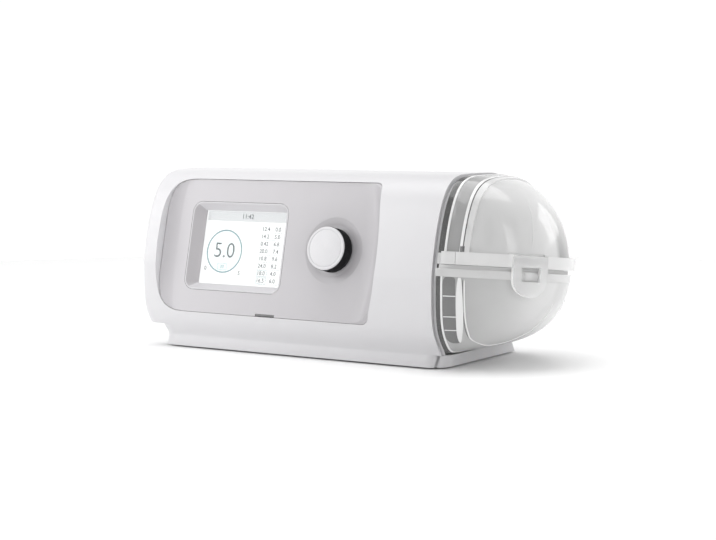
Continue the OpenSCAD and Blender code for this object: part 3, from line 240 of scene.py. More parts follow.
def rounded(x0, x1, y0, y1, ra, rb, k=14, rc=None):
    rc = rb if rc is None else rc
    corner = [(x1 - rb, y0 + rb, rb, -90), (x1 - rc, y1 - rc, rc, 0), (x0 + ra, y1 - ra, ra, 90),
              (x0 + ra, y0 + ra, ra, 180)]
    return [(x + r * math.cos(math.radians(a + 90 * i / k)), y + r * math.sin(math.radians(a + 90 * i / k)))
            for x, y, r, a in corner for i in range(k + 1)]


ON_PANEL = Matrix.Translation((0, PANEL_Y, PANEL_Z)) @ Matrix.Rotation(math.radians(90 - TILT), 4, "X")
ON_BACK = (Matrix.Translation((0, 2 * YC - PANEL_Y, PANEL_Z)) @ Matrix.Rotation(math.pi, 4, "Z")
           @ Matrix.Rotation(math.radians(90 - TILT), 4, "X"))
print("crown half width at 100 mm:", round(half(100), 2))

# %% [markdown]
# The camera stands where the photographer's did: in front, to the right, a little above the middle.
# It is fixed by the outline of the housing, the display and the tank in the photograph. The light is
# a plain white studio: the sky is white near the horizon and dims overhead, so it doesn't wash the
# shapes out, and the main soft box stands to the left, because the knob's right side is in shade.

# %% Camera, floor and light
view = bpy.data.cameras.new("camera")
view.lens, view.sensor_width, view.clip_end = 83.4, 36.0, 20.0
camera, CAMERA_AT = show("camera", view), Vector((619.75, -988.3, 159.9))
AZ, EL = math.radians(32.70), math.radians(5.07)
back = Vector((math.sin(AZ) * math.cos(EL), -math.cos(AZ) * math.cos(EL), math.sin(EL)))
camera.matrix_world = Matrix.Translation(CAMERA_AT * MM) @ back.to_track_quat("Z", "Y").to_matrix().to_4x4()
bpy.context.scene.camera = camera


def area(name, at, to, size, power):
    lamp = bpy.data.lights.new(name, "AREA")
    lamp.shape, lamp.size, lamp.size_y, lamp.energy = "RECTANGLE", *size, power
    aim = (Vector(at) - Vector(to)).to_track_quat("Z", "Y").to_matrix().to_4x4()
    show(name, lamp).matrix_world = Matrix.Translation(at) @ aim


area("left_softbox", (-1.25, -1.15, 0.85), (0, 0, 0.06), (1.0, 1.2), 10)
area("top_softbox", (-0.1, 0.05, 1.35), (0, 0, 0.05), (1.5, 1.2), 15)
area("right_strip", (1.45, -0.55, 0.55), (0.12, 0, 0.07), (0.28, 1.1), 2.5)
area("back_softbox", (0.9, 1.3, 0.7), (0.1, 0, 0.08), (0.9, 0.7), 5)
studio = bpy.data.worlds.new("studio")
bpy.context.scene.world = studio
studio.use_nodes = True
sky = studio.node_tree
heading, height, fade = (sky.nodes.new("ShaderNode" + kind)
                         for kind in ("TexCoord", "SeparateXYZ", "MapRange"))
sky.links.new(heading.outputs["Generated"], height.inputs[0])
sky.links.new(height.outputs["Z"], fade.inputs["Value"])
for socket, value in (("From Min", 0.22), ("From Max", 0.65), ("To Min", 1.04), ("To Max", 0.30)):
    fade.inputs[socket].default_value = value
sky.links.new(fade.outputs["Result"], sky.nodes["Background"].inputs["Strength"])
sky.nodes["Background"].inputs["Color"].default_value = (1, 1, 1, 1)
bpy.context.scene.view_settings.view_transform = "Standard"
FLOOR_R, FLOOR_Z = 860, -0.05
floor = add_mesh("floor", [(x, y, FLOOR_Z) for x, y in circle(FLOOR_R)], [tuple(range(96))])
print("camera at", [round(v, 3) for v in camera.location])

# %% [markdown]
# The housing is one white moulding: a long tunnel whose end outline bulges at the front and the back,
# rounded over at its left end, on a skirt that is drawn in. It is swept, hollowed and then opened at
# the front, the back and the right, as the moulded one is.

# %% Housing
def skin(name, d, xb, zb, top=None):
    rings = []
    for k in range(9):
        a = math.radians(90 * k / 8)
        x, s = END_R * (1 - math.cos(a)), END_R * (1 - math.sin(a))
        rings.append([(XL + d + x, y, z) for y, z in end_outline(d + s, zb + s * 0.8)])
    steps = 14
    for k in range(1, steps + 1):
        x = XL + d + END_R + (xb - XL - d - END_R) * k / steps
        rings.append([(x, y, z) for y, z in end_outline(d, zb)])
    return loft(name, rings)


def skirt(name, d, za, zb, rb, levels):
    rings = []
    for k in range(levels + 1):
        z = za + (zb - za) * k / levels
        zz = max(z, SKIRT_Z)
        h = half(zz, d)
        x0 = XL + SKIRT_IN + d + 4.2 * (1 - min(1, zz / 12))
        x1 = XS + 2 if rb == 0 else XS
        ra, r1 = SKIRT_R - d * (0.5 if rb else 1), max(rb, 1.0)
        outline = rounded(x0, x1, YC - h, YC + h, ra, r1, rc=min(r1, FOOT_R2))
        rings.append([(x, y, z) for x, y in outline])
    return loft(name, rings)


def panel_line(a, b, c):
    hh, xr, w, xa = PANEL_H / 2 - c, PX1 - b, SWEEP - a, PX0 + SWEEP
    out = [(xr - PR + PR * math.cos(math.radians(t)), -hh + PR + PR * math.sin(math.radians(t)))
           for t in range(-90, 1, 6)]
    for k in range(1, 24):
        v = -1 + k / 12
        out.append((xr + BOW * (1 - v * v), v * (hh - PR)))
    out += [(xr - PR + PR * math.cos(math.radians(t)), hh - PR + PR * math.sin(math.radians(t)))
            for t in range(0, 91, 6)]
    turns = [90, 88, 85, 81, 76, 70, 63, 55, 46, 36, 24, 12, 0]
    for t in turns + [-v for v in reversed(turns[:-1])]:
        out.append((xa - w * abs(math.cos(math.radians(t))) ** (2 / 4.2),
                    math.copysign(hh * abs(math.sin(math.radians(t))) ** (2 / 4.2), t)))
    return out


BX0, BX1, BS0, BS1 = -(XS - 35), -(XS - 124), -41.0, 42.0


def back_line(e):
    return rounded(BX0 - e, BX1 + e, BS0 - e, BS1 + e, 0.6, 0.6, 2)


housing = join(skin("housing_shell", 0, XS, UNDER_Z), skirt("s", 0, WAIST_Z + 0.2, UNDER_Z + 6, 1, 8))
join(housing, skirt("s", 0, SKIRT_Z, WAIST_Z + 0.2, FOOT_R1, 10))
carve(housing, skin("v", WALL, XS + 1, UNDER_Z + WALL), skirt("v", WALL, -3, UNDER_Z + 5, 0, 10))
carve(housing, prism("v", panel_line(0, 0, 0), -PANEL_T - 0.2, 40, ON_PANEL),
      prism("v", back_line(0), -PANEL_T - 0.2, 40, ON_BACK))
FX, FZ, FW, FH = XL + 48, 60.0, 44.0, 42.0
carve(housing, block("v", FX - FW / 2 - 3, FX + FW / 2 + 3, YC + 45, YC + 75, FZ - FH / 2 - 3,
                     FZ + FH / 2 + 3),
      block("v", XS - 2.4, XS + 8, YC - 70, YC + 70, -5, WAIST_Z))
print("housing faces:", len(housing.data.polygons))

# %% Lips of the two openings
def opening_lip(name, outer, inner, turn):
    lip = carve(prism(name, outer, -PANEL_T - 2.8, 22, turn), prism("v", inner, -PANEL_T - 9, 30, turn))
    return keep_inside(lip, skin("v", 0.02, XS - 3, UNDER_Z + 1))


join(housing, opening_lip("lip", panel_line(-1.6, -1.6, -0.2), panel_line(0, 0, 0), ON_PANEL))
join(housing, opening_lip("lip", back_line(1.6), back_line(0), ON_BACK))
soften(housing, 0.45)
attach(housing, "housing")
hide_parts("main_housing")
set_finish(housing, "shell_white")
print("housing with lips:", len(housing.data.polygons))

# %% [markdown]
# The base closes the housing from below. Only its right edge shows, as the white slab under the tank,
# with a thin parting line to the skirt.

# %% Base slab
E = WALL + GAP + 0.1


def slab(name, d, x1, z1, rb, xr, rc):
    rings = []
    for k in range(7):
        z = SKIRT_Z + (z1 - SKIRT_Z) * k / 6
        h = half(z) - d
        rings.append([(x, y, z) for x, y in rounded(XS - 60, xr, YC - h, YC + h, 1, rb, rc=rc)])
    return keep_inside(loft(name, rings), block("v", x1, XS + 9, YC - 70, YC + 70, -1, 30))


base = prism("base_slab", rounded(XL + SKIRT_IN + E + 4.2, XS - 3, YC - half(3.8) + E, YC + half(3.8) - E,
                                  SKIRT_R - E, FOOT_R1 - E), SKIRT_Z, SKIRT_Z + 2.6)
join(base, slab("s", 0, XS - 2.4 + GAP, WAIST_Z - 0.1, SLAB_R, XS + SLAB_OUT, FOOT_R2),
     slab("s", E, XS - 9, WAIST_Z - 0.1, 9, XS - 0.4, 9))
MB0, FOOT_R = XS - 124, 6.0
for k in range(7):
    carve(base, block("v", MB0 + 12 + k * 6, MB0 + 14.4 + k * 6, YC - 8, YC + 16, -1, 9))
FEET = [(x, y) for x in (XL + 28, XS - 16) for y in (YC - 34, YC + 34)]
BASE_SCREWS = [(x, y) for x in (XL + 34, XS - 60) for y in (YC - 44, YC + 44)]
for x, y in FEET:
    carve(base, rod(FOOT_R + 0.1, 0, SKIRT_Z + 0.8, Matrix.Translation((x, y, 0)), 64))
for x, y in BASE_SCREWS:
    carve(base, rod(3.0, 0, SKIRT_Z + 1, Matrix.Translation((x, y, 0)), 48))
soften(base, 0.3)
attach(base, "housing")
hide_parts("base_pan")
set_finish(base, "shell_white")
print("base faces:", len(base.data.polygons))

# %% [markdown]
# The grey front panel lies flat and leans back. Its ends sweep up into a soft dish before they meet
# the white opening, so its left end catches a dark to light gradient.

# %% Front panel
def dished_panel():
    body = prism("front_face", panel_line(GAP, GAP, GAP), -PANEL_T, LIP, ON_PANEL)
    rings = []
    for k in range(15):
        u = k / 14 * 1.03
        inset = 17 * max(0.0, 1 - u ** 0.36) + 0.7
        rings.append([(x, y, u * LIP) for x, y in panel_line(GAP + inset, GAP + inset * 0.9, -4)])
    carve(body, loft("v", place(rings, ON_PANEL)))
    return keep_inside(body, skin("v", 0.4, XS - 3, UNDER_Z))


face = dished_panel()
carve(face, prism("v", rounded(RX - REC_W / 2, RX + REC_W / 2, -REC_H / 2, REC_H / 2, REC_R, REC_R),
                  -PANEL_T - 1, 12, ON_PANEL))
KNOB_AT = ON_PANEL @ Matrix.Translation((KX, 0.8, 0))
DISH = [(0.01, -1.2), (17.2, -1.2), (17.9, -0.7), (21.2, -0.3), (22.6, -0.05), (22.9, 0.02), (22.9, 6),
        (0.01, 6)]
carve(face, lathe("dish", DISH, KNOB_AT))
carve(face, rod(3.65, -6, 6, KNOB_AT, 48))
SX = XS - 133.9
carve(face, block("v", SX - 8, SX + 8, -PANEL_H / 2 - 1, -PANEL_H / 2 + 2, -1.2, 3, ON_PANEL))
soften(face, 0.25, 38)
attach(face, "housing")
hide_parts("front_panel")
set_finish(face, "panel_grey")
print("panel faces:", len(face.data.polygons))

# %% Display frame
LENS_Z = -REC_D - 1.1
LCD_Z, REC_EDGE = LENS_Z - 1.2 - 0.1, 1.1
frame_block = prism("display_frame",
                    rounded(RX - REC_W / 2 + GAP, RX + REC_W / 2 - GAP, -REC_H / 2 + GAP, REC_H / 2 - GAP,
                            REC_R - GAP, REC_R - GAP),
                    LENS_Z + 0.1, 0, ON_PANEL)
funnel = []
for k in range(9):
    q = k / 8
    s = q ** 0.8
    x0 = LX - LCD_W / 2 + s * (RX - REC_W / 2 + REC_EDGE - LX + LCD_W / 2)
    x1 = LX + LCD_W / 2 + s * (RX + REC_W / 2 - REC_EDGE - LX - LCD_W / 2)
    h = LCD_H / 2 + s * (REC_H / 2 - REC_EDGE - LCD_H / 2)
    funnel.append([(x, y, -REC_D + q * (REC_D + 0.02)) for x,
                   y in rounded(x0, x1, -h, h, 0.6 + s * (REC_R - 1.7), 0.6 + s * (REC_R - 1.7))])
carve(frame_block, loft("v", place(funnel, ON_PANEL)))
carve(frame_block, block("v", LX - LCD_W / 2, LX + LCD_W / 2, -LCD_H / 2, LCD_H / 2, LENS_Z - 1, LENS_Z + 3,
                         ON_PANEL))
soften(frame_block, 0.2, 30)
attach(frame_block, "housing")
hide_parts("display_bezel")
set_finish(frame_block, "bezel_grey")
print("display frame faces:", len(frame_block.data.polygons))

# %% [markdown]
# The water tank is clear plastic: a dome that leans into the housing's end outline. A flange that
# falls a little to the back parts it into the tub below and the cover and lid above.

# %% Dome and flange outlines
DOME_LEN, DOME_Z, UP, DOWN, TANK_WALL = 62.0, 61.5, 64.0, 51.0, 2.2
FALL, FLANGE_Z, FLANGE_H, FLANGE_OUT, RIM_H = 5.73, 78.6, 8.2, 3.5, 5.2
TK0, COV1, LID0, FL0, GZ = XS + 3.2, XS + 17.25, XS + 17.55, XS + 8, 10.9
FL_HALF, P1Y, P2Y, PORT_Z, PORT_R = half(72), YC - 15, YC + 19, 88.0, 12.0
PIVOT, DEEP, LOW_POWER, HIGH_POWER = 73.0, math.cos(math.radians(FALL)), 2.15, 2.35
ON_FLANGE = Matrix.Translation((0, -PIVOT, FLANGE_Z)) @ Matrix.Rotation(math.radians(-FALL), 4, "X")


def across(y):
    """The flange frame's own Y of a place in Y."""
    return (y + PIVOT) / DEEP


def dome(name, w, nz=24, n=64):
    """The tank's skin, w inside its outer face: half a ring at each of its levels."""
    turns = [math.radians(-90 + 180 * i / n) for i in range(n + 1)]

    def ring(z, ax, h):
        return [(XS + ax * math.cos(a), YC + h * math.sin(a), z) for a in turns]

    rings = []
    for i in range(nz):
        f = math.radians(88 * (1 - i / nz))
        z = DOME_Z - (DOWN - w) * math.sin(f) ** (2 / LOW_POWER)
        rings.append(ring(z, (DOME_LEN - w) * math.cos(f) ** (2 / LOW_POWER), half(z, w + 0.25)))
    for i in range(nz + 1):
        f = math.radians(88.5 * i / nz)
        z = DOME_Z + (UP - w) * math.sin(f) ** (2 / HIGH_POWER)
        rings.append(ring(z, (DOME_LEN - w) * math.cos(f) ** (2 / HIGH_POWER),
                          half(z, w + 0.25 + 0.5 * math.sin(f))))
    return loft(name, rings)


def d_line(e, xa, k=90):
    ax, h = DOME_LEN + e, FL_HALF + e
    t0 = math.acos(min(1.0, max(0.0, (xa - XS) / ax)))
    turns = [-t0 + 2 * t0 * i / k for i in range(k + 1)]
    return [(XS + ax * math.cos(a), across(YC + h * math.sin(a))) for a in turns]


def above(z0):
    return block("v", -200, 300, -70, 210, z0, z0 + 160, ON_FLANGE)


def below(z0):
    return block("v", -200, 300, -70, 210, z0 - 160, z0, ON_FLANGE)


def between(x0, x1):
    return block("v", x0, x1, -200, 200, -20, 200)


def in_wall(name, w0, w1, outline):
    """A patch of the dome's front wall between two depths, cut to an outline drawn in X and Z."""
    patch = carve(dome(name, w0), dome("v", w1))
    return keep_inside(patch, prism("v", [(x, -z) for x, z in outline], YC - 90, YC - 4,
                                    Matrix.Rotation(-math.pi / 2, 4, "X")))


def bead(w, x0, x1):
    return keep_inside(carve(dome("bead", -w), dome("v", 1)), between(x0, x1))


def tube_x(x0, x1, r, y, z):
    return rod(r, x0, x1, Matrix.Translation((0, y, z)) @ Matrix.Rotation(math.pi / 2, 4, "Y"))


print("flange half width:", round(FL_HALF, 2))

# %% Tub
TUB_IN, TUB_HALF, TUB_TOP, TUB_Z = 50.0, 41.0, 56.0, 12.0
HP0, HP1, HPY0, HPY1 = XS - 44, XS - 17, YC - 30, YC + 30
tub = keep_inside(dome("tub_shell", 0), below(-GZ), between(TK0, 300))
carve(tub, keep_inside(dome("v", TANK_WALL), between(TK0 + TANK_WALL, 300)))
rim = carve(prism("rim", d_line(1, TK0), -GZ - RIM_H, -GZ, ON_FLANGE),
            prism("v", d_line(-TANK_WALL - 1.6, TK0 + 3.8), -40, 10, ON_FLANGE))
join(tub, rim)
join(tub, along_x("dock_part", rounded(YC - TUB_HALF, YC + TUB_HALF, TUB_Z, TUB_TOP, 4, 4, 8), XS - TUB_IN,
                  TK0 + 0.5))
carve(tub, along_x("v", rounded(YC - TUB_HALF + 2, YC + TUB_HALF - 2, TUB_Z + 2.4, TUB_TOP - 2, 2.5, 2.5, 8),
                   XS - TUB_IN + 2, TK0 + 2.6))
carve(tub, block("v", HP0 - 4, HP1, HPY0 + 1, HPY1 - 1, TUB_Z - 1, TUB_Z + 1.2),
      block("v", HP0 - 1, HP1 - 3, HPY0 + 4, HPY1 - 4, TUB_Z - 1, TUB_Z + 5))
carve(tub, carve(prism("v", d_line(-0.9, TK0 + 1), -GZ - 0.6, -GZ + 2.4, ON_FLANGE),
                 prism("w", d_line(-2.9, TK0 + 3), -GZ - 3, -GZ + 5, ON_FLANGE)))
HINGE_Y, HINGE_X, HINGE_R, PIN_R = YC + FL_HALF + 3.7, LID0 + 1.2, 3.2, 1.5
AT_HINGE = ON_FLANGE @ Matrix.Translation((0, across(HINGE_Y), -9.6)) @ Matrix.Rotation(math.pi / 2, 4, "Y")


def rim_back(x, e=0.0):
    return YC + (FL_HALF + e) * math.sqrt(1 - ((x - XS) / (DOME_LEN + e)) ** 2)


def knuckle(x0, width):
    return rod(HINGE_R, x0, x0 + width, AT_HINGE)


def pin_bore():
    return rod(PIN_R + 0.05, HINGE_X - 1, HINGE_X + 39, AT_HINGE, 48)


for x in (HINGE_X, HINGE_X + 10.2):
    join(tub, knuckle(x, 3.2), block("w", x, x + 3.2, across(rim_back(x + 3.2, -0.8)), across(HINGE_Y),
                                     -GZ - RIM_H + 0.8, -GZ, ON_FLANGE))
carve(tub, pin_bore())
print("tub faces:", len(tub.data.polygons))

# %% [markdown]
# The latch sits on the flange where it faces the user. One frame turned to that point of the outline
# places the latch, its pin, the notch in the lid and the catch on the tub.

# %% Latch frame
LATCH_W, LATCH_LEN = 26.0, 27.0
LA = math.radians(-30)
LMX, LMY = XS + DOME_LEN * math.cos(LA), YC + FL_HALF * math.sin(LA)
LN = math.atan2(DOME_LEN * math.sin(LA), FL_HALF * math.cos(LA))
ON_LATCH = ON_FLANGE @ Matrix.Translation((LMX, across(LMY), 0)) @ Matrix.Rotation(LN, 4, "Z")
AT_PIN = ON_LATCH @ Matrix.Translation((0.7, 0, -3.2)) @ Matrix.Rotation(-math.pi / 2, 4, "X")


def latch_sector(name, e0, e1, z0, w, h):
    ring = carve(prism(name, d_line(e1, XS + 20, 140), z0, z0 + h, ON_FLANGE),
                 prism("v", d_line(e0, XS + 10, 140), z0 - 1, z0 + h + 1, ON_FLANGE))
    return keep_inside(ring, block("w", -12, 12, -w, w, -60, 20, ON_LATCH))


join(tub, keep_inside(bead(0.3, XS + 6.5, XS + 7.7), below(-GZ - RIM_H + 0.5)))
join(tub, latch_sector("catch", 1.0, 1.55, -GZ - RIM_H + 0.4, 3, 5))
soften(tub, 0.35, 34)
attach(tub, "tank")
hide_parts("tank_tub")
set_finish(tub, "clear_tank")
print("latch frame at", [round(v, 1) for v in ON_LATCH.translation])

# %% [markdown]
# Four things show in the tub's front wall: a smoked strip behind the level marks, a rib of thicker
# plastic beside it that is widest at its middle, painted bright as a highlight, and a double line where
# the wall turns into the bottom: a bright cord that is a painted highlight and a dark cord that is
# painted shade. The line follows the dome, so its points are given by a turn and a level on it.

# %% Level strip, rib and lines on the dome
def on_dome(turn, z, w=0.0):
    power, span = (LOW_POWER, DOWN) if z < DOME_Z else (HIGH_POWER, UP)
    reach = (DOME_LEN - w) * (1 - (abs(DOME_Z - z) / (span - w)) ** power) ** (1 / power)
    a = math.radians(turn)
    return XS + reach * math.cos(a), YC + half(z, w + 0.25) * math.sin(a), z


def on_tub(x, z):
    return on_dome(-math.degrees(math.acos((x - XS) / (on_dome(0, z)[0] - XS))), z)[1]


def cord(name, points, r, n=10):
    """A round bead through a line of points on the dome, thinner at its two ends."""
    spots, rings = [Vector(p) for p in points], []
    for i, p in enumerate(spots):
        along = (spots[min(i + 1, len(spots) - 1)] - spots[max(i - 1, 0)]).normalized()
        side = along.cross(p - Vector((XS, YC, DOME_Z))).normalized()
        up, k = side.cross(along), r * min(1, (i + 0.3) / 3, (len(spots) - 0.7 - i) / 3)
        rings.append([tuple(p + side * k * math.cos(math.tau * j / n) + up * k * math.sin(math.tau * j / n))
                      for j in range(n)])
    return loft(name, rings)


def middle(p, q, r, s, t):
    return 0.5 * (2 * q + (r - p) * t + (2 * p - 5 * q + 4 * r - s) * t * t + (3 * q - p - 3 * r + s) * t ** 3)


def smooth(points, k=8):
    """A soft curve through a few given points."""
    line = [points[0], *points, points[-1]]
    out = []
    for a, b, c, d in zip(line, line[1:], line[2:], line[3:]):
        for t in (i / k for i in range(k)):
            out.append(tuple(middle(*four, t) for four in zip(a, b, c, d)))
    return out + [points[-1]]


def front_line(x, levels, w):
    return [on_dome(-math.degrees(math.acos((x - XS) / (on_dome(0, z, w)[0] - XS))), z, w) for z in levels]


UNDER_RIM = -GZ - RIM_H - 0.3
strip_shape = rounded(XS + 7.9, XS + 16.2, 18.5, 62.5, 4.0, 3.0)
rib_shape = []
for a in range(0, 360, 8):
    z = 41.0 - 22.0 * math.cos(math.radians(a))
    mid = XS + 18.9 - 3.2 * (max(0.0, 41.5 - z) / 21.5) ** 2
    rib_shape.append((mid + 2.2 * math.sin(math.radians(a)), z))
level_strip = keep_inside(in_wall("level_strip", -0.05, 0.7, strip_shape), below(UNDER_RIM))
tub_rib = keep_inside(in_wall("tub_rib", -0.35, TANK_WALL + 1.0, rib_shape), below(UNDER_RIM))
turns = [(-44, 17.2), (-35, 15.9), (-26, 15.9), (-18, 17.4), (-12, 20.8), (-8, 26), (-5, 34), (-4, 44)]
# A bright cord, a painted highlight, and beside it a dark cord, painted shade, along the inner edge of the
# wall.
tub_line = cord("tub_line", smooth(front_line(XS + 21.8, (61, 52, 43, 34, 26, 21.5),
                                              0.1) + [on_dome(t, z, 0.1) for t, z in turns]), 0.5)
tub_shade = cord("tub_shade", smooth(front_line(XS + 20.8, (61, 52, 43, 34, 26, 19.5), 0.1)), 0.32)
lid_line = cord("lid_line", smooth([on_dome(t, z, 0.1) for t,
                                    z in ((-27, 79), (-25, 88), (-22, 98), (-18, 107), (-11, 114))]), 0.25)
for piece, body in ((level_strip, "tank"), (tub_rib, "tank"), (tub_line, "tank"), (tub_shade, "tank"),
                    (lid_line, "tank_lid")):
    soften(piece, 0.0, 34)
    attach(piece, body)
    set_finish(piece, "clear_tank")
print("strip, rib and lines:", [len(p.data.polygons)
                                for p in (level_strip, tub_rib, tub_line, tub_shade, lid_line)])

# %% Cover over the air ports
cover = keep_inside(dome("tank_cover_shell", 0), above(-FLANGE_H), between(TK0, COV1))
join(cover, keep_inside(prism("f", d_line(FLANGE_OUT, FL0), -FLANGE_H, 0, ON_FLANGE), between(FL0, COV1)))
join(cover, keep_inside(bead(0.35, XS + 7.4, XS + 8.8), above(-1)))
for y in (P1Y, P2Y):
    join(cover, tube_x(XS - 25.5, TK0 + 0.5, PORT_R, y, PORT_Z))
carve(cover, keep_inside(dome("v", TANK_WALL), between(TK0 + TANK_WALL, COV1 - TANK_WALL)))
for y in (P1Y, P2Y):
    carve(cover, tube_x(XS - 30, TK0 + TANK_WALL + 1, PORT_R - 1.8, y, PORT_Z),
          tube_x(COV1 - 5, COV1 + 5, 9, y, PORT_Z))
soften(cover, 0.4, 34)
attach(cover, "tank")
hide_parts("tank_cover")
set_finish(cover, "clear_tank")
print("cover faces:", len(cover.data.polygons))

# %% Lid with its edge band and flange
lid = carve(keep_inside(dome("lid_shell", 0), above(-FLANGE_H), between(LID0, 300)), dome("v", TANK_WALL))
band = carve(keep_inside(dome("band", -0.8), above(-FLANGE_H + 1), between(LID0, LID0 + 6)),
             dome("v", TANK_WALL - 0.6))
join(lid, carve(band, carve(keep_inside(dome("v", -2), above(0.3), between(LID0 + 1.8, LID0 + 2.5)),
                            dome("w", -0.1))))
flange = carve(prism("f", d_line(FLANGE_OUT, XS + 1), -FLANGE_H, 0, ON_FLANGE),
               prism("v", d_line(-TANK_WALL - 0.4, XS + 1), -20, 10, ON_FLANGE))
join(lid, keep_inside(flange, between(LID0, 300)))
X1 = HINGE_X + 3.5
join(lid, knuckle(X1, 6.4), block("w", X1, X1 + 6.4, across(rim_back(X1 + 6.4, 1)), across(HINGE_Y + 0.6),
                                  -HINGE_R - 2.8, 0, ON_FLANGE),
     block("w", X1, X1 + 6.4, across(HINGE_Y) - 1.6, across(HINGE_Y) + 1.6, -8.6, -0.6, ON_FLANGE))
carve(lid, pin_bore())
carve(lid, latch_sector("v", -1.5, 9, -FLANGE_H - 1, LATCH_W / 2 + 0.3, FLANGE_H + 2),
      rod(0.88, -LATCH_W / 2 - 2.2, LATCH_W / 2 + 2.2, AT_PIN, 32))
soften(lid, 0.4, 34)
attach(lid, "tank_lid")
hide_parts("tank_lid")
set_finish(lid, "clear_tank")
print("lid faces:", len(lid.data.polygons))

# %% Latch
strip = latch_sector("latch_clip", 1.9, 4.0, -LATCH_LEN, LATCH_W / 2, LATCH_LEN - 0.4)
shield = [(x, max(LATCH_W * 0.42 - LATCH_W / 2 * 0.84 * math.sqrt(max(0.0, 1 - (x / (LATCH_W / 2)) ** 2)),
                  0)) for x in np.linspace(-LATCH_W / 2, LATCH_W / 2, 49)]
turn = ON_LATCH @ Matrix.Translation((-20, 0, -LATCH_LEN)) @ Matrix.Rotation(math.pi / 2, 4,
        "Z") @ Matrix.Rotation(math.pi / 2, 4, "X")
keep_inside(strip, prism("v", shield + [(LATCH_W / 2, 60), (-LATCH_W / 2, 60)], 0, 60, turn))
join(strip, rod(1.75, -LATCH_W / 2, LATCH_W / 2, AT_PIN, 48))
join(strip, keep_inside(latch_sector("k", 0.8, 3, -4.8, LATCH_W / 2, 3.2),
                        block("w", 0.3, 6.3, -LATCH_W / 2, LATCH_W / 2, -5.5, -0.9, ON_LATCH)))
carve(strip, block("v", -10, 20, -7, 7, -16.9, -7.7, ON_LATCH), rod(0.91, -20, 20, AT_PIN, 32))
soften(strip, 0.3, 34)
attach(strip, "lid_latch")
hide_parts("lid_latch")
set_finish(strip, "latch_clear")
print("latch faces:", len(strip.data.polygons))

# %% Gasket and dock ring
gasket = carve(prism("gasket_ring", d_line(-1, TK0 + 1.1), -GZ - 0.5, -GZ + 2.5, ON_FLANGE),
               prism("v", d_line(-2.8, TK0 + 2.9), -30, 0, ON_FLANGE))
soften(gasket, 0.2)
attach(gasket, "tank")
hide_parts("tank_gasket")
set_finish(gasket, "silicone_grey")
RING_D = WALL + GAP
ring = along_x("dock_edge", end_outline(RING_D, WAIST_Z + 0.4), XS - 13.7, XS + 2.5)
carve(ring, along_x("v", end_outline(RING_D + 2.4, WAIST_Z + 2.8), XS - 20, XS + 10))
soften(ring, 0.5)
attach(ring, "housing")
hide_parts("dock_ring")
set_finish(ring, "shell_white")
print("dock edge faces:", len(ring.data.polygons))

# %% [markdown]
# The knob is a white, slightly crowned cap in a dark turned metal ring. Both are turned round one
# axis, so a profile that spins is the natural way. Fine ridges run round the ring.

# %% Knob
KH, KR, TRAVEL = 10.4, 14.7, 0.8
RING_SIDE = [(KR - 1.6, TRAVEL - 0.4), (KR + 0.4, TRAVEL - 0.4), (KR + 0.4, TRAVEL + 0.6),
             (KR + 0.2, TRAVEL + 0.85), (KR, TRAVEL + 0.95),
                                (KR, KH - 1.3), (KR - 0.15, KH - 1.2), (KR - 1.6, KH - 1.2)]
knob_side = lathe("knob_side", RING_SIDE, KNOB_AT, 160, hollow=True)
CAP_SIDE = [(3.02, KH - 3.4), (KR - 1.65, KH - 3.4), (KR - 1.65, KH - 1.15), (KR - 0.05, KH - 1.15),
            (KR, KH - 1.05), (KR, KH - 0.55), (KR - 0.15, KH - 0.22),
                              (KR - 0.5, KH - 0.02), (KR * 0.945, KH + 0.02), (KR * 0.885, KH),
                              (KR * 0.874, KH - 0.08), (KR * 0.868, KH - 0.25), (KR * 0.856, KH - 0.25),
                              (KR * 0.85, KH - 0.06),
                              (KR * 0.84, KH + 0.03), (KR * 0.7, KH + 0.17), (KR * 0.5, KH + 0.32),
                              (KR * 0.25, KH + 0.45), (0.01, KH + 0.5), (0.01, KH - 3.2)]
knob_top = lathe("knob_top", CAP_SIDE, KNOB_AT, 160)
join(knob_top, rod(5.2, TRAVEL + 1.9, KH - 2.6, KNOB_AT, 64))
carve(knob_top, rod(3.02, -2, KH - 3.0, KNOB_AT, 64))
for piece, node, kind in ((knob_side, "knob_ring", "knob_metal"), (knob_top, "knob_cap", "knob_white")):
    soften(piece, 0.0, 28)
    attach(piece, "knob")
    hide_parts(node)
    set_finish(piece, kind)
print("knob faces:", len(knob_side.data.polygons) + len(knob_top.data.polygons))

# %% [markdown]
# What repeats is made once and placed by Geometry Nodes: the ridges round the knob, the slats of the
# filter cover, the level marks on the tub and the screws. The tree takes the spots from a small
# mesh of points, puts one copy on each, and turns it by the angle stored there.

# %% A tree that puts one form on many spots
def copies_tree(name, form):
    tree = bpy.data.node_groups.new(name, "GeometryNodeTree")
    tree.interface.new_socket("Spots", in_out="INPUT", socket_type="NodeSocketGeometry")
    tree.interface.new_socket("Geometry", in_out="OUTPUT", socket_type="NodeSocketGeometry")
    make, link = tree.nodes.new, tree.links.new
    given, out = make("NodeGroupInput"), make("NodeGroupOutput")
    source, turn = make("GeometryNodeObjectInfo"), make("GeometryNodeInputNamedAttribute")
    put, real = make("GeometryNodeInstanceOnPoints"), make("GeometryNodeRealizeInstances")
    source.inputs["Object"].default_value = form
    turn.data_type = "FLOAT_VECTOR"
    turn.inputs["Name"].default_value = "turn"
    link(given.outputs["Spots"], put.inputs["Points"])
    link(source.outputs["Geometry"], put.inputs["Instance"])
    link(turn.outputs["Attribute"], put.inputs["Rotation"])
    link(put.outputs["Instances"], real.inputs[0])
    link(real.outputs[0], out.inputs["Geometry"])
    return tree


def copies(name, form, spots):
    """spots are matrices in millimetres; form is a small mesh around its own origin."""
    data = bpy.data.meshes.new(name)
    data.from_pydata([tuple(m.translation * MM) for m in spots], [], [])
    turns = data.attributes.new("turn", "FLOAT_VECTOR", "POINT")
    turns.data.foreach_set("vector", [c for m in spots for c in m.to_euler()])
    piece = show(name, data)
    piece.modifiers.new("copies", "NODES").node_group = copies_tree(name, form)
    to_plain(piece)
    bpy.data.objects.remove(form)
    print(name, "has", len(spots), "copies,", len(piece.data.polygons), "faces")
    return piece

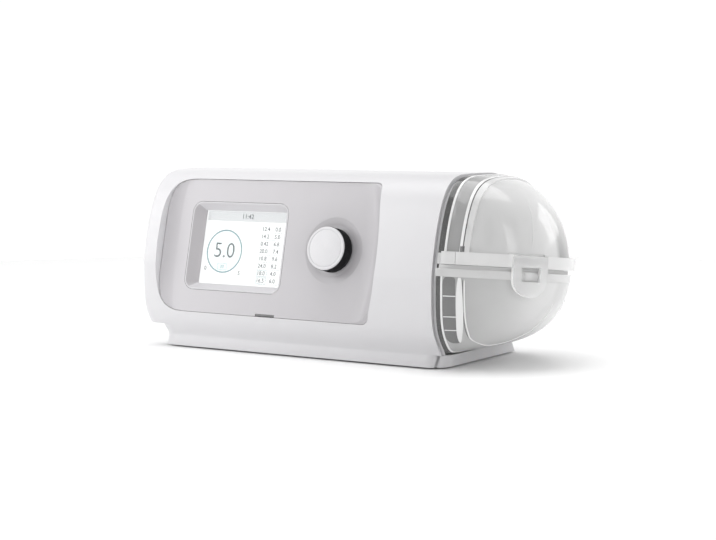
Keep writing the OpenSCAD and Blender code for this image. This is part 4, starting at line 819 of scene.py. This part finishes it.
# %% Ridges, slats, level marks and screws
RIDGES, SLATS, SLAT_STEP = 120, 9, 5.2
SPIN = [Matrix.Rotation(2 * math.pi * k / RIDGES, 4, "Z") for k in range(RIDGES)]
ridge = prism("ridge", [(-0.12, -0.13), (0.16, -0.09), (0.16, 0.09), (-0.12, 0.13)], 0,
              KH - 1.4 - TRAVEL - 1.0)
ridges = copies("knob_ridges", ridge, [KNOB_AT @ s @ Matrix.Translation((KR, 0, TRAVEL + 1.0)) for s in SPIN])
slat = soften(prism("slat", rounded(-FW / 2 + 2, FW / 2 - 2, -1.3, 0.9, 0.7, 0.7, 3), -1.3, 1.3,
                    Matrix.Rotation(math.pi / 2 - 0.35, 4, "X")), 0)
FIL_Y = YC + HALF - 3.7
door_slats = copies("filter_slats", slat,
                    [Matrix.Translation((FX, FIL_Y - 1.5, FZ - FH / 2 + 1.6 + SLAT_STEP * k))
                     for k in range(SLATS)])
tick = soften(prism("tick", rounded(-1.0, 1.0, -0.3, 0.3, 0.2, 0.2, 3), -0.1, 0.34,
                    Matrix.Rotation(math.pi / 2, 4, "X")), 0)
MARK_LEVELS, MARK_X0, MARK_X1, MARK_STEP = (49.8, 36.4, 27.5), XS + 9.2, XS + 15.8, 1.6
spots = []
for z in MARK_LEVELS:
    for x in np.arange(MARK_X0, MARK_X1, MARK_STEP):
        lean = math.atan(on_tub(x + 0.5, z) - on_tub(x - 0.5, z))
        spots.append(Matrix.Translation((x, on_tub(x, z), z)) @ Matrix.Rotation(lean, 4, "Z"))
level_marks = copies("level_marks", tick, spots)
SCREW = [(0.01, -1.5), (2.75, -1.5), (2.75, -0.55), (2.5, -0.25), (1.75, -0.02), (1.5, 0), (1.4, -0.15),
         (1.32, -0.95), (0.01, -1.0)]
BACK_SPOTS = [ON_BACK @ Matrix.Translation((x, s, 0.4)) for x in (BX0 + 5, BX1 - 5)
              for s in (BS0 + 5, BS1 - 5)]
back_screws = copies("rear_cover_screws", lathe("screw", SCREW, n=48), BACK_SPOTS)
UNDER = Matrix.Rotation(math.pi, 4, "X")
base_spots = [Matrix.Translation((x, y, 0.35)) @ UNDER for x, y in BASE_SCREWS]
under_screws = copies("base_plate_screws", lathe("screw", SCREW, n=48), base_spots)
for piece, body, kind, nodes in ((ridges, "knob", "knob_metal", []),
                                 (door_slats, "filter_door", "shell_white", []),
                                 (level_marks, "tank", "clear_tank", []),
                                 (back_screws, "housing", "steel", ["rear_screws"]),
                                 (under_screws, "housing", "steel", ["base_screws"])):
    soften(piece, 0.0, 35)
    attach(piece, body)
    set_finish(piece, kind)
    if nodes:
        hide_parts(*nodes)

# %% [markdown]
# The back carries a removable cover with vent slots, the filter cover, the hose outlet and the power
# inlet. They are out of sight from the front, and as finished as the rest.

# %% Rear cover
rear = carve(prism("rear_plate", back_line(-GAP), -PANEL_T, 20, ON_BACK),
             block("v", BX0 + 2.6, BX1 - 2.6, BS0 - 5, BS1 + 5, 0, 30, ON_BACK))
keep_inside(rear, skin("v", 0.4, XS - 3, UNDER_Z))
HX, JX, JZ, HOSE_R, HOSE_END = XS - 66, XS - 104, 42.5, 11.0, YC + HALF + 24.0
AT_HOSE = Matrix.Translation((HX, 0, PORT_Z)) @ Matrix.Rotation(-math.pi / 2, 4, "X")
AT_JACK = Matrix.Translation((JX, 0, JZ)) @ Matrix.Rotation(-math.pi / 2, 4, "X")
carve(rear, rod(HOSE_R + 1.9, 0, 90, AT_HOSE, 96), rod(5.8, 0, 90, AT_JACK, 64))
for m in BACK_SPOTS:
    carve(rear, rod(3.0, -1.8, 20, m, 48), rod(1.6, -9, 2, m, 32))
for k in range(8):
    carve(rear, prism("v", rounded(BX1 - 16 - k * 5, BX1 - 13.8 - k * 5, -8, 14, 1.05, 1.05, 5), -10, 10,
                      ON_BACK))
soften(rear, 0.3)
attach(rear, "housing")
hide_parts("rear_cover")
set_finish(rear, "shell_white")
print("rear cover faces:", len(rear.data.polygons))

# %% Hose outlet and filter frame
Y0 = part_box("hose_outlet")[0].y / MM
SPIGOT = [(8.6, Y0), (14.2, Y0), (14.2, Y0 + 1.8), (12.6, Y0 + 1.8), (12.6, HOSE_END - 24.6),
          (12.2, HOSE_END - 24.1), (11.0, HOSE_END - 24.0),
                               (11.0, HOSE_END - 1.0), (10.8, HOSE_END - 0.3), (10.3, HOSE_END),
                               (9.2, HOSE_END), (8.8, HOSE_END - 0.3), (8.6, HOSE_END - 0.8)]
outlet = lathe("hose_spigot", SPIGOT, AT_HOSE, hollow=True)
soften(outlet, 0.0, 40)
AT_DOOR = Matrix.Translation((0, FIL_Y, 0)) @ Matrix.Rotation(math.pi / 2, 4, "X")
door = prism("filter_frame", rounded(FX - FW / 2 - 2.7, FX + FW / 2 + 2.7, FZ - FH / 2 - 2.7,
                                     FZ + FH / 2 + 2.7, 3, 3), 0, 2.9, AT_DOOR)
carve(door, prism("v", rounded(FX - FW / 2 + 2, FX + FW / 2 - 2, FZ - FH / 2, FZ + FH / 2, 1.5, 1.5), -2, 5,
                  AT_DOOR))
join(door, prism("tab", rounded(FX - 9, FX + 9, FZ + FH / 2 + 0.1, FZ + FH / 2 + 2.1, 0.9, 0.9, 6), -1.0,
                 0.2, AT_DOOR))
soften(door, 0.35)
for piece, body, node in ((outlet, "housing", "hose_outlet"), (door, "filter_door", "filter_cover")):
    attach(piece, body)
    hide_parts(node)
    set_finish(piece, "shell_white")
print("outlet and filter frame ready")

# %% [markdown]
# The display shows one plain page: a header with a clock, a ring with the pressure in large figures
# and a table of small numbers. Each is a thin sheet of ink on the display's surface. The words and
# marks of the real page are left out, and only plain numbers are drawn.

# %% Page on the display
INK_Z = LCD_Z - 0.29


def on_page(u, v):
    return ON_PANEL @ Matrix.Translation((LX - LCD_W / 2 + u, LCD_H / 2 - v, INK_Z))


PAGE, INK = on_page(0, 0) @ Matrix.Scale(-1, 4, (0, 1, 0)), 0.05


def sheet_of_ink(name, outline, lift=0.0):
    return prism(name, outline, lift, lift + INK, PAGE)


def hoop(name, u, v, r0, r1, lift):
    tool = prism("v", circle(r0, 96, u, v), -1, 1, PAGE)
    return carve(sheet_of_ink(name, circle(r1, 96, u, v), lift), tool)


def figures(name, words, u, v, tall, thin=0.0):
    """Plain numbers: a text curve, turned into a thin mesh before it is put in its place."""
    curve = bpy.data.curves.new(name, "FONT")
    curve.body, curve.align_x, curve.align_y, curve.size = words, "CENTER", "CENTER", 1.37
    curve.extrude, curve.offset = 0.012, thin
    text = show(name, curve)
    data = bpy.data.meshes.new_from_object(text.evaluated_get(bpy.context.evaluated_depsgraph_get()))
    bpy.data.objects.remove(text)
    bpy.data.curves.remove(curve)
    data.transform(Matrix.Scale(MM, 4) @ on_page(u, v) @ Matrix.Translation((0, 0, 0.13))
                   @ Matrix.Diagonal((tall, tall, 1, 1)))
    return show(name, data)


page = [
    ("ink_pale", sheet_of_ink("page_header", [(0, 0), (LCD_W, 0), (LCD_W, 7), (0, 7)])),
    ("ink_cyan", sheet_of_ink("page_disc", circle(15.0, 96, 18, 28.8))),
    ("ink_teal", hoop("page_ring", 18, 28.8, 14.6, 15.5, 0.06)),
    ("ink_dark", figures("page_clock", "11:42", 35, 3.6, 3.4, 0.012)),
    ("ink_dark", figures("page_pressure", "5.0", 18, 28.6, 11.2, -0.012)),
    ("ink_teal", figures("page_ramp", "30", 17.5, 39.9, 2.6)),
    ("ink_dark", figures("page_small_1", "0", 3, 41.5, 3.0, 0.012)),
    ("ink_dark", figures("page_small_2", "5", 33, 44, 3.0, 0.012)),
]
row_ink, box_ink, numbers = None, None, []
for k, row in enumerate(["12.4  0.0", "14.2  5.0", "0.42  6.8", "20.0  7.4", "10.8  9.6", "24.0  8.2",
                         "18.0  4.0", "16.5  6.0"]):
    v = 11.9 + 5.2 * k
    left, right = row.split()
    numbers += [figures("n", left, 52.0, v, 2.9, 0.012), figures("n", right, 62.3, v, 2.9, 0.012)]
    line = sheet_of_ink("page_lines", rounded(46.5, 67.5, v + 2.4, v + 2.62, 0.05, 0.05, 2))
    row_ink = join(row_ink, line) if row_ink else line
for u, v, w, h in ((17.5, 39.8, 8.2, 4.8), (52.6, 43.1, 8.6, 4.2), (52.6, 48.3, 8.6, 4.2)):
    box = carve(sheet_of_ink("page_boxes", rounded(u - w / 2, u + w / 2, v - h / 2, v + h / 2, 0.8, 0.8, 4),
                             0.06),
                prism("v", rounded(u - w / 2 + 0.18, u + w / 2 - 0.18, v - h / 2 + 0.18, v + h / 2 - 0.18,
                                   0.65, 0.65, 4), -1, 1, PAGE))
    box_ink = join(box_ink, box) if box_ink else box
bm = bmesh.new()
for part in numbers:
    bm.from_mesh(part.data)
    bpy.data.objects.remove(part)
table = bpy.data.meshes.new("page_numbers")
bm.to_mesh(table)
bm.free()
numbers = show("page_numbers", table)
page += [("ink_line", row_ink), ("ink_teal", box_ink), ("ink_dark", numbers)]
ink_of = {piece.name: ink for ink, piece in page}
for ink, piece in page:
    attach(piece, "housing")
    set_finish(piece, "display_face")
print("page pieces:", len(page))

# %% [markdown]
# Finishes are written as sums. A small class stands for one socket of a node, so that
# `0.3 + 0.1 * grain` adds the Math nodes that work it out. Every pattern reads Object coordinates,
# in metres, so it has the same scale on each piece.

# %% Sockets that can be added and multiplied
class Wire:
    """One output socket. Sums of wires and numbers add Math nodes to the same finish."""

    def __init__(self, finish, socket):
        self.finish, self.socket = finish, socket

    def math(self, operation, *values, **settings):
        return self.finish.node("ShaderNodeMath", {"operation": operation, **settings},
                                dict(enumerate(values or (self,))))

    def __add__(self, other): return self.math("ADD", self, other)
    def __radd__(self, other): return self.math("ADD", other, self)
    def __sub__(self, other): return self.math("SUBTRACT", self, other)
    def __rsub__(self, other): return self.math("SUBTRACT", other, self)
    def __mul__(self, other): return self.math("MULTIPLY", self, other)
    def __rmul__(self, other): return self.math("MULTIPLY", other, self)
    def __truediv__(self, other): return self.math("DIVIDE", self, other)
    def __rtruediv__(self, other): return self.math("DIVIDE", other, self)
    def __pow__(self, other): return self.math("POWER", self, other)
    def __gt__(self, other): return self.math("GREATER_THAN", self, other)
    def __lt__(self, other): return self.math("LESS_THAN", self, other)
    def held(self): return self.math("ADD", self, 0.0, use_clamp=True)


FINISHES = {}


class Finish:
    """A material. Words given to it set the shader's own sockets; a wire given to them is linked."""

    def __init__(self, name, colour, **sockets):
        self.material = bpy.data.materials.new(name)
        self.material.use_nodes = True
        self.tree = self.material.node_tree
        self.shader = self.tree.nodes["Principled BSDF"]
        self.material.diffuse_color = (*colour, 1)
        self.set(Base_Color=(*colour, 1), **sockets)
        FINISHES[name] = self

    def set(self, **sockets):
        for name, value in sockets.items():
            self.feed(self.shader.inputs[name.replace("_", " ")], value)
        return self

    def feed(self, socket, value):
        if isinstance(value, Wire):
            self.tree.links.new(value.socket, socket)
        else:
            socket.default_value = value

    def node(self, kind, settings=None, inputs=None, output=0):
        made = self.tree.nodes.new(kind)
        for name, value in (settings or {}).items():
            if name == "stops":
                for i, (at, tone) in enumerate(value):
                    stop = made.color_ramp.elements[i] if i < 2 else made.color_ramp.elements.new(at)
                    stop.position, stop.color = at, (*tone, 1)
            else:
                setattr(made, name, value)
        for name, value in (inputs or {}).items():
            self.feed(made.inputs[name], value)
        return Wire(self, made.outputs[output])

    def place(self):
        return self.node("ShaderNodeTexCoord", output="Object")

    def axis(self, name):
        return self.node("ShaderNodeSeparateXYZ", None, {0: self.place()}, name)

    def noise(self, size_mm, detail=2.0, stretch=(1, 1, 1), rough=0.5):
        spot = self.node("ShaderNodeMapping", None, {"Vector": self.place(), "Scale": stretch})
        return self.node("ShaderNodeTexNoise", None,
                         {"Vector": spot, "Scale": 1000 / size_mm, "Detail": detail, "Roughness": rough},
                         "Fac")

    def blend(self, share, one, other):
        one, other = [(*c, 1) if isinstance(c, tuple) else c for c in (one, other)]
        return self.node("ShaderNodeMix", {"data_type": "RGBA"}, {0: share, 6: one, 7: other}, 2)

    def shaded(self, base, amount):
        settings = {"data_type": "RGBA", "blend_type": "MULTIPLY"}
        return self.node("ShaderNodeMix", settings, {0: 1.0, 6: base, 7: amount}, 2)

    def bump(self, height, depth_mm, strength=1.0):
        return self.node("ShaderNodeBump", None,
                         {"Height": height, "Distance": depth_mm / 1000, "Strength": strength})


def tone(v, warm=0.0):
    """A grey as it looks on a screen from 0 to 255, as a linear colour."""
    return tuple(((c / 255 + 0.055) / 1.055) ** 2.4 for c in (v + warm, v, v - warm))


print("finish helpers ready")

# %% [markdown]
# The shell is white plastic from a sparked mould: a very fine grain, satin, a little glossier where
# hands polish it. The panel is the same plastic in a grey with a trace of violet. Both are painted
# darker towards the right and the bottom: painted shade, as the light falls off away from the left.

# %% Moulded plastics
def moulded(name, colour, gloss=0.36, grain_mm=0.55, depth=0.010, drift=0.03, painted_falloff=0.0, **sockets):
    f = Finish(name, colour, IOR=1.49, Specular_IOR_Level=0.5, **sockets)
    cloud, grain = f.noise(55, 3), f.noise(grain_mm, 1.0)
    darker = tuple(c * (1 - drift) for c in colour)
    base = f.blend(cloud, darker, colour)
    # Painted shade: the colour darkens towards the right end and towards the bottom.
    if painted_falloff:
        along = ((f.axis("X") - XL * MM) / ((XS - XL) * MM)).held()
        down = ((TOP * MM - f.axis("Z")) / (TOP * MM)).held()
        base = f.shaded(base, 1.0 - painted_falloff * along * (0.6 + 0.4 * down))
    f.set(Base_Color=base, Roughness=gloss - 0.05 + 0.10 * cloud + 0.04 * (grain - 0.5),
          Normal=f.bump(grain, depth))
    return f


moulded("shell_white", (0.72, 0.715, 0.73), 0.34, painted_falloff=0.17)
moulded("panel_grey", (0.56, 0.545, 0.565), 0.30, 0.4, 0.006, painted_falloff=0.30)
# A darker copy of the frame's grey for its side walls and the panel's rim: painted shade.
moulded("bezel_side", (0.46, 0.445, 0.46), 0.42, 0.4, 0.006)
moulded("bezel_grey", (0.60, 0.59, 0.61), 0.36, 0.4, 0.006)
moulded("liner_grey", (0.62, 0.62, 0.65), 0.5, 0.8, 0.02)
moulded("knob_white", (0.64, 0.635, 0.65), 0.26, 0.3, 0.003)
moulded("fan_white", tone(228), 0.45)
moulded("blower_black", tone(66, -1), 0.5, 0.7, 0.02, 0.15)
moulded("insulator", tone(215, 8), 0.6, 0.9, 0.03, 0.08)
moulded("sensor_blue", (0.03, 0.10, 0.26), 0.4, 0.5, 0.01, 0.1)
moulded("dark_window", tone(38, -1), 0.12, 0.6, 0.002, 0.1, Coat_Weight=0.6, Coat_Roughness=0.08)
moulded("rubber_dark", tone(58), 0.72, 0.35, 0.03, 0.18)
moulded("silicone_grey", tone(206), 0.58, 0.5, 0.012, 0.05)
print("plastics:", len(FINISHES))

# %% [markdown]
# The tank is clear plastic, lightly smoked. Seen square on it lets most light through. At a shallow
# angle the eye looks through more of the wall, so it turns dense and bright along every edge. That
# is what Layer Weight gives, so it drives how solid the wall is.

# %% Clear plastics
def clear(name, near, far, thin, thick, power=1.6, gloss=0.07, dark=1.0):
    """near and far are the greys at the seam and at the tip, painted shade darker by the housing; dark sets
    the painted shade on steep sides seen at a slant.
    """
    f = Finish(name, tone(far), IOR=1.57, Specular_IOR_Level=0.6)
    cloud = f.noise(40, 2)
    facing = f.node("ShaderNodeLayerWeight", None, {"Blend": 0.5}, "Facing")
    upward = f.node("ShaderNodeSeparateXYZ", None, {0: f.node("ShaderNodeNewGeometry", output="Normal")},
                    "Z").math("ABSOLUTE")
    side = (1.0 - 1.5 * upward).held()
    # Painted shade: the colour darkens on steep sides seen at a slant.
    band = ((facing - 0.48) * 14).held() * ((0.90 - facing) * 14).held()
    shade = 1.0 - (1.0 - dark) * band * side - 0.05 * cloud
    # Painted shade: the colour is darker by the housing and lighter towards the tip.
    along = ((f.axis("X") - XS * MM) / (DOME_LEN * MM)).held()
    base = f.blend(along, tone(near), tone(far))
    f.set(Roughness=gloss + 0.05 * cloud, Alpha=(thin + (thick - thin) * facing ** power).held(),
          Base_Color=f.shaded(base, shade))
    f.material.surface_render_method = "BLENDED"
    return f


# Each first grey is painted shade by the housing; the tank and tub also get painted shade on their steep
# sides.
clear("clear_tank", 226, 248, 0.50, 0.95, dark=0.42)
clear("clear_cover", 176, 222, 0.52, 0.94)
clear("clear_tub", 196, 244, 0.52, 0.95, dark=0.8)
clear("clear_rim", 224, 232, 0.66, 0.95)
clear("clear_strip", 122, 134, 0.62, 0.9)
clear("clear_shade", 104, 120, 0.6, 0.9)
clear("clear_rib", 246, 248, 0.78, 0.98)
clear("clear_flange", 232, 240, 0.66, 0.97)
clear("latch_clear", 240, 246, 0.26, 0.98, 1.0, 0.12)
clear("clear_lens", 242, 242, 0.05, 0.5, 3.0, 0.04)
print("clear finishes ready")

# %% [markdown]
# Metals: the knob's ring is turned, so its fine marks run round it and blur its gloss in bands. The
# plates are drawn or milled along X, and small steel parts are plain.

# %% Metals
def metal(name, colour, gloss, marks_mm, stretch, depth=0.004):
    f = Finish(name, colour, Metallic=1.0)
    lines, cloud = f.noise(marks_mm, 2, stretch), f.noise(24, 3)
    darker = tuple(c * 0.82 for c in colour)
    f.set(Base_Color=f.blend(lines, darker, colour), Roughness=gloss + 0.14 * lines + 0.06 * cloud,
          Normal=f.bump(lines, depth))
    return f


metal("knob_metal", (0.032, 0.032, 0.034), 0.32, 1.2, (0.3, 8, 8))
metal("steel", (0.56, 0.56, 0.57), 0.22, 1.5, (0.15, 4, 4))
metal("heater_metal", (0.62, 0.62, 0.635), 0.3, 1.8, (0.06, 4, 4), 0.008)
metal("brass_nut", (0.60, 0.52, 0.33), 0.25, 1.0, (1, 1, 6))
print("metals ready")

# %% [markdown]
# Boards, foam and the filter have patterns of their own: copper tracks under green mask, open pores
# and pleats. The pores are darker at their middles and the pleats lighter and darker across each
# fold: painted shade. They are out of sight until the part is opened or its bodies are moved.

# %% Board, foam and filter
board = Finish("board_green", (0.02, 0.16, 0.08), IOR=1.5)
tracks = board.node("ShaderNodeTexBrick", {"offset": 0.4},
                    {"Vector": board.place(), "Scale": 160.0, "Mortar Size": 0.03, "Color1": (0, 0, 0, 1),
                     "Color2": (0, 0, 0, 1), "Mortar": (1, 1, 1, 1)}, "Color")
speck = board.noise(6, 3)
mask = (tracks * (speck > 0.45)).held()
board.set(Base_Color=board.blend(mask, (0.012, 0.11, 0.055), (0.035, 0.24, 0.12)),
          Roughness=0.28 + 0.1 * speck, Normal=board.bump(mask, 0.03))
foam = Finish("foam_grey", tone(98), IOR=1.4)
pores = foam.node("ShaderNodeTexVoronoi", None, {"Vector": foam.place(), "Scale": 900.0}, "Distance")
# Painted shade: the pores are darker at their middles.
foam.set(Base_Color=foam.blend(pores.held(), tone(52), tone(112)), Roughness=0.9 + 0.05 * pores,
         Normal=foam.bump(pores, 0.5))
cloth = Finish("filter_cloth", tone(222), IOR=1.4)
pleats = cloth.node("ShaderNodeTexWave", {"bands_direction": "X"},
                    {"Vector": cloth.place(), "Scale": 130.0, "Distortion": 0.6, "Detail": 2.0}, "Fac")
fibres = cloth.noise(0.5, 3)
# Painted shade: the pleats are lighter and darker across each fold.
cloth.set(Base_Color=cloth.blend((0.35 * pleats + 0.5 * fibres).held(), tone(196), tone(232)),
          Roughness=0.85 + 0.08 * fibres,
          Normal=cloth.bump(pleats + 0.4 * fibres, 0.35))
print("patterned finishes ready")

# %% [markdown]
# The display lights itself, so its face and its inks give out light as well as reflect it. A grid
# of pixels at 0.22 mm varies the light a little, as it does seen close.

# %% Display and its inks
def lit(name, colour, power):
    f = Finish(name, colour, IOR=1.5, Emission_Strength=power)
    dots = f.node("ShaderNodeTexChecker", None,
                  {"Vector": f.place(), "Scale": 4500.0, "Color1": (1, 1, 1, 1),
                   "Color2": (0.94, 0.94, 0.94, 1)}, "Color")
    glow = f.shaded((*colour, 1), dots)
    f.set(Emission_Color=glow, Base_Color=f.blend(f.noise(30), tuple(c * 0.16 for c in colour),
            tuple(c * 0.2 for c in colour)), Roughness=0.4 + 0.05 * f.noise(9))
    return f


lit("display_face", (0.97, 0.985, 0.985), 0.95)
lit("ink_pale", (0.66, 0.68, 0.69), 0.95)
lit("ink_cyan", (0.86, 0.95, 0.95), 0.95)
lit("ink_teal", (0.13, 0.27, 0.30), 0.95)
lit("ink_dark", (0.05, 0.07, 0.08), 0.95)
lit("ink_line", (0.40, 0.45, 0.46), 0.95)
print("display finishes ready")

# %% [markdown]
# The floor is a plain sheet of pale paper. Its colour drifts by a hair, and it has paper's matt grain.

# %% Floor
paper = Finish("floor_paper", tone(250), IOR=1.4)
sheet = paper.noise(300, 2)
paper.set(Base_Color=paper.blend(sheet, tone(249), tone(252)), Roughness=0.85 + 0.05 * sheet,
          Normal=paper.bump(paper.noise(1.2), 0.02))
floor.data.materials.append(paper.material)

# %% Give every piece and every carried-over node its finish
SLOT_OF = {row["node"]: row["material_slot"] for row in frame["record"]["subparts"]}


def paint_where(piece, name, test):
    """A second finish on the faces whose middle and normal, in millimetres, pass the test."""
    piece.data.materials.append(FINISHES[name].material)
    for face in piece.data.polygons:
        if test(face.center / MM, face.normal):
            face.material_index = len(piece.data.materials) - 1


def finish_piece(piece, name):
    if len(piece.data.materials) == 0:
        piece.data.materials.append(FINISHES[name].material)
    for i in range(len(piece.material_slots)):
        piece.material_slots[i].material = FINISHES[name].material


for node, obj in frame["nodes"].items():
    finish_piece(obj, SLOT_OF[node])
count = 0
for obj in list(bpy.context.scene.objects):
    if obj.type == "MESH" and "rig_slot" in obj and "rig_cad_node" not in obj:
        finish_piece(obj, ink_of.get(obj.name, obj["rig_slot"]))
        count += 1
TO_FLANGE, TO_PANEL = ON_FLANGE.inverted(), ON_PANEL.inverted()
# The rib and the bright cord take the bright finish as a painted highlight, the level marks as their own
# colour; the dark cord takes painted shade.
for piece, name in ((tub, "clear_tub"), (cover, "clear_cover"), (level_strip, "clear_strip"),
                    (tub_rib, "clear_rib"), (tub_line, "clear_rib"),
                    (tub_shade, "clear_shade"), (lid_line, "clear_rim"), (level_marks, "clear_rib")):
    finish_piece(piece, name)


def at_flange(c):
    return -FLANGE_H - 0.2 < (TO_FLANGE @ c).z < 0.05


# Painted shade: the tub and the cover where they meet the housing, and the groove in the lid's edge band.
paint_where(tub, "clear_shade", lambda c, n: c.x < XS + 6.4 and (TO_FLANGE @ c).z < UNDER_RIM)
# Painted highlights: the beads on the tub and the cover and the lid's edge take the bright finish.
paint_where(tub, "clear_rib", lambda c, n: XS + 6.45 < c.x < XS + 7.75)
paint_where(tub, "clear_rim", lambda c, n: (TO_FLANGE @ c).z > UNDER_RIM + 0.2 and c.x > XS + 4)
paint_where(cover, "clear_shade", lambda c, n: c.x < XS + 7.3)
paint_where(cover, "clear_rib", lambda c, n: XS + 7.35 < c.x < XS + 8.85)
paint_where(cover, "clear_flange", lambda c, n: at_flange(c) and c.x > XS + 4)
paint_where(lid, "clear_flange", lambda c, n: at_flange(c) or LID0 + 2.5 < c.x < LID0 + 6.1)
paint_where(lid, "clear_rib", lambda c, n: not at_flange(c) and c.x < LID0 + 1.8)
paint_where(lid, "clear_shade", lambda c, n: not at_flange(c) and LID0 + 1.8 < c.x < LID0 + 2.5)
paint_where(ring, "rubber_dark", lambda c, n: c.x > XS - 1)
LATCH_OUT = (ON_LATCH.to_3x3() @ Vector((1, 0, 0))).normalized()
# Painted highlight: the latch's side walls are bright round its outline.
paint_where(strip, "clear_rib", lambda c, n: abs(n.dot(LATCH_OUT)) < 0.8)


def on_side(n):
    return abs((ON_PANEL.to_3x3().inverted() @ n).z) < 0.2


def within(p, outline):
    """Whether a point of the panel's plane lies inside an outline."""
    hits = [(a, b) for a, b in zip(outline, outline[1:] + outline[:1]) if (a[1] > p.y) != (b[1] > p.y)]
    return sum(p.x < a[0] + (p.y - a[1]) * (b[0] - a[0]) / (b[1] - a[1]) for a, b in hits) % 2 == 1


edge_line = panel_line(GAP + 0.35, GAP + 0.35, GAP + 0.35)
# Painted shade: the panel's rim and the display frame's left and right walls take the darker grey.
paint_where(face, "bezel_side", lambda c, n: not within(TO_PANEL @ c, edge_line))
paint_where(frame_block, "bezel_side", lambda c, n: abs((ON_PANEL.to_3x3().inverted() @ n).x) > 0.4)
paint_where(face, "rubber_dark", lambda c, n: on_side(n) and (TO_PANEL @ c).z < -0.4)
paint_where(frame_block, "rubber_dark", lambda c, n: on_side(n)
            and (abs((TO_PANEL @ c).x - RX) > REC_W / 2 - 0.4 or abs((TO_PANEL @ c).y) > REC_H / 2 - 0.4))
print("finished pieces:", count, "and CAD nodes:", len(frame["nodes"]))
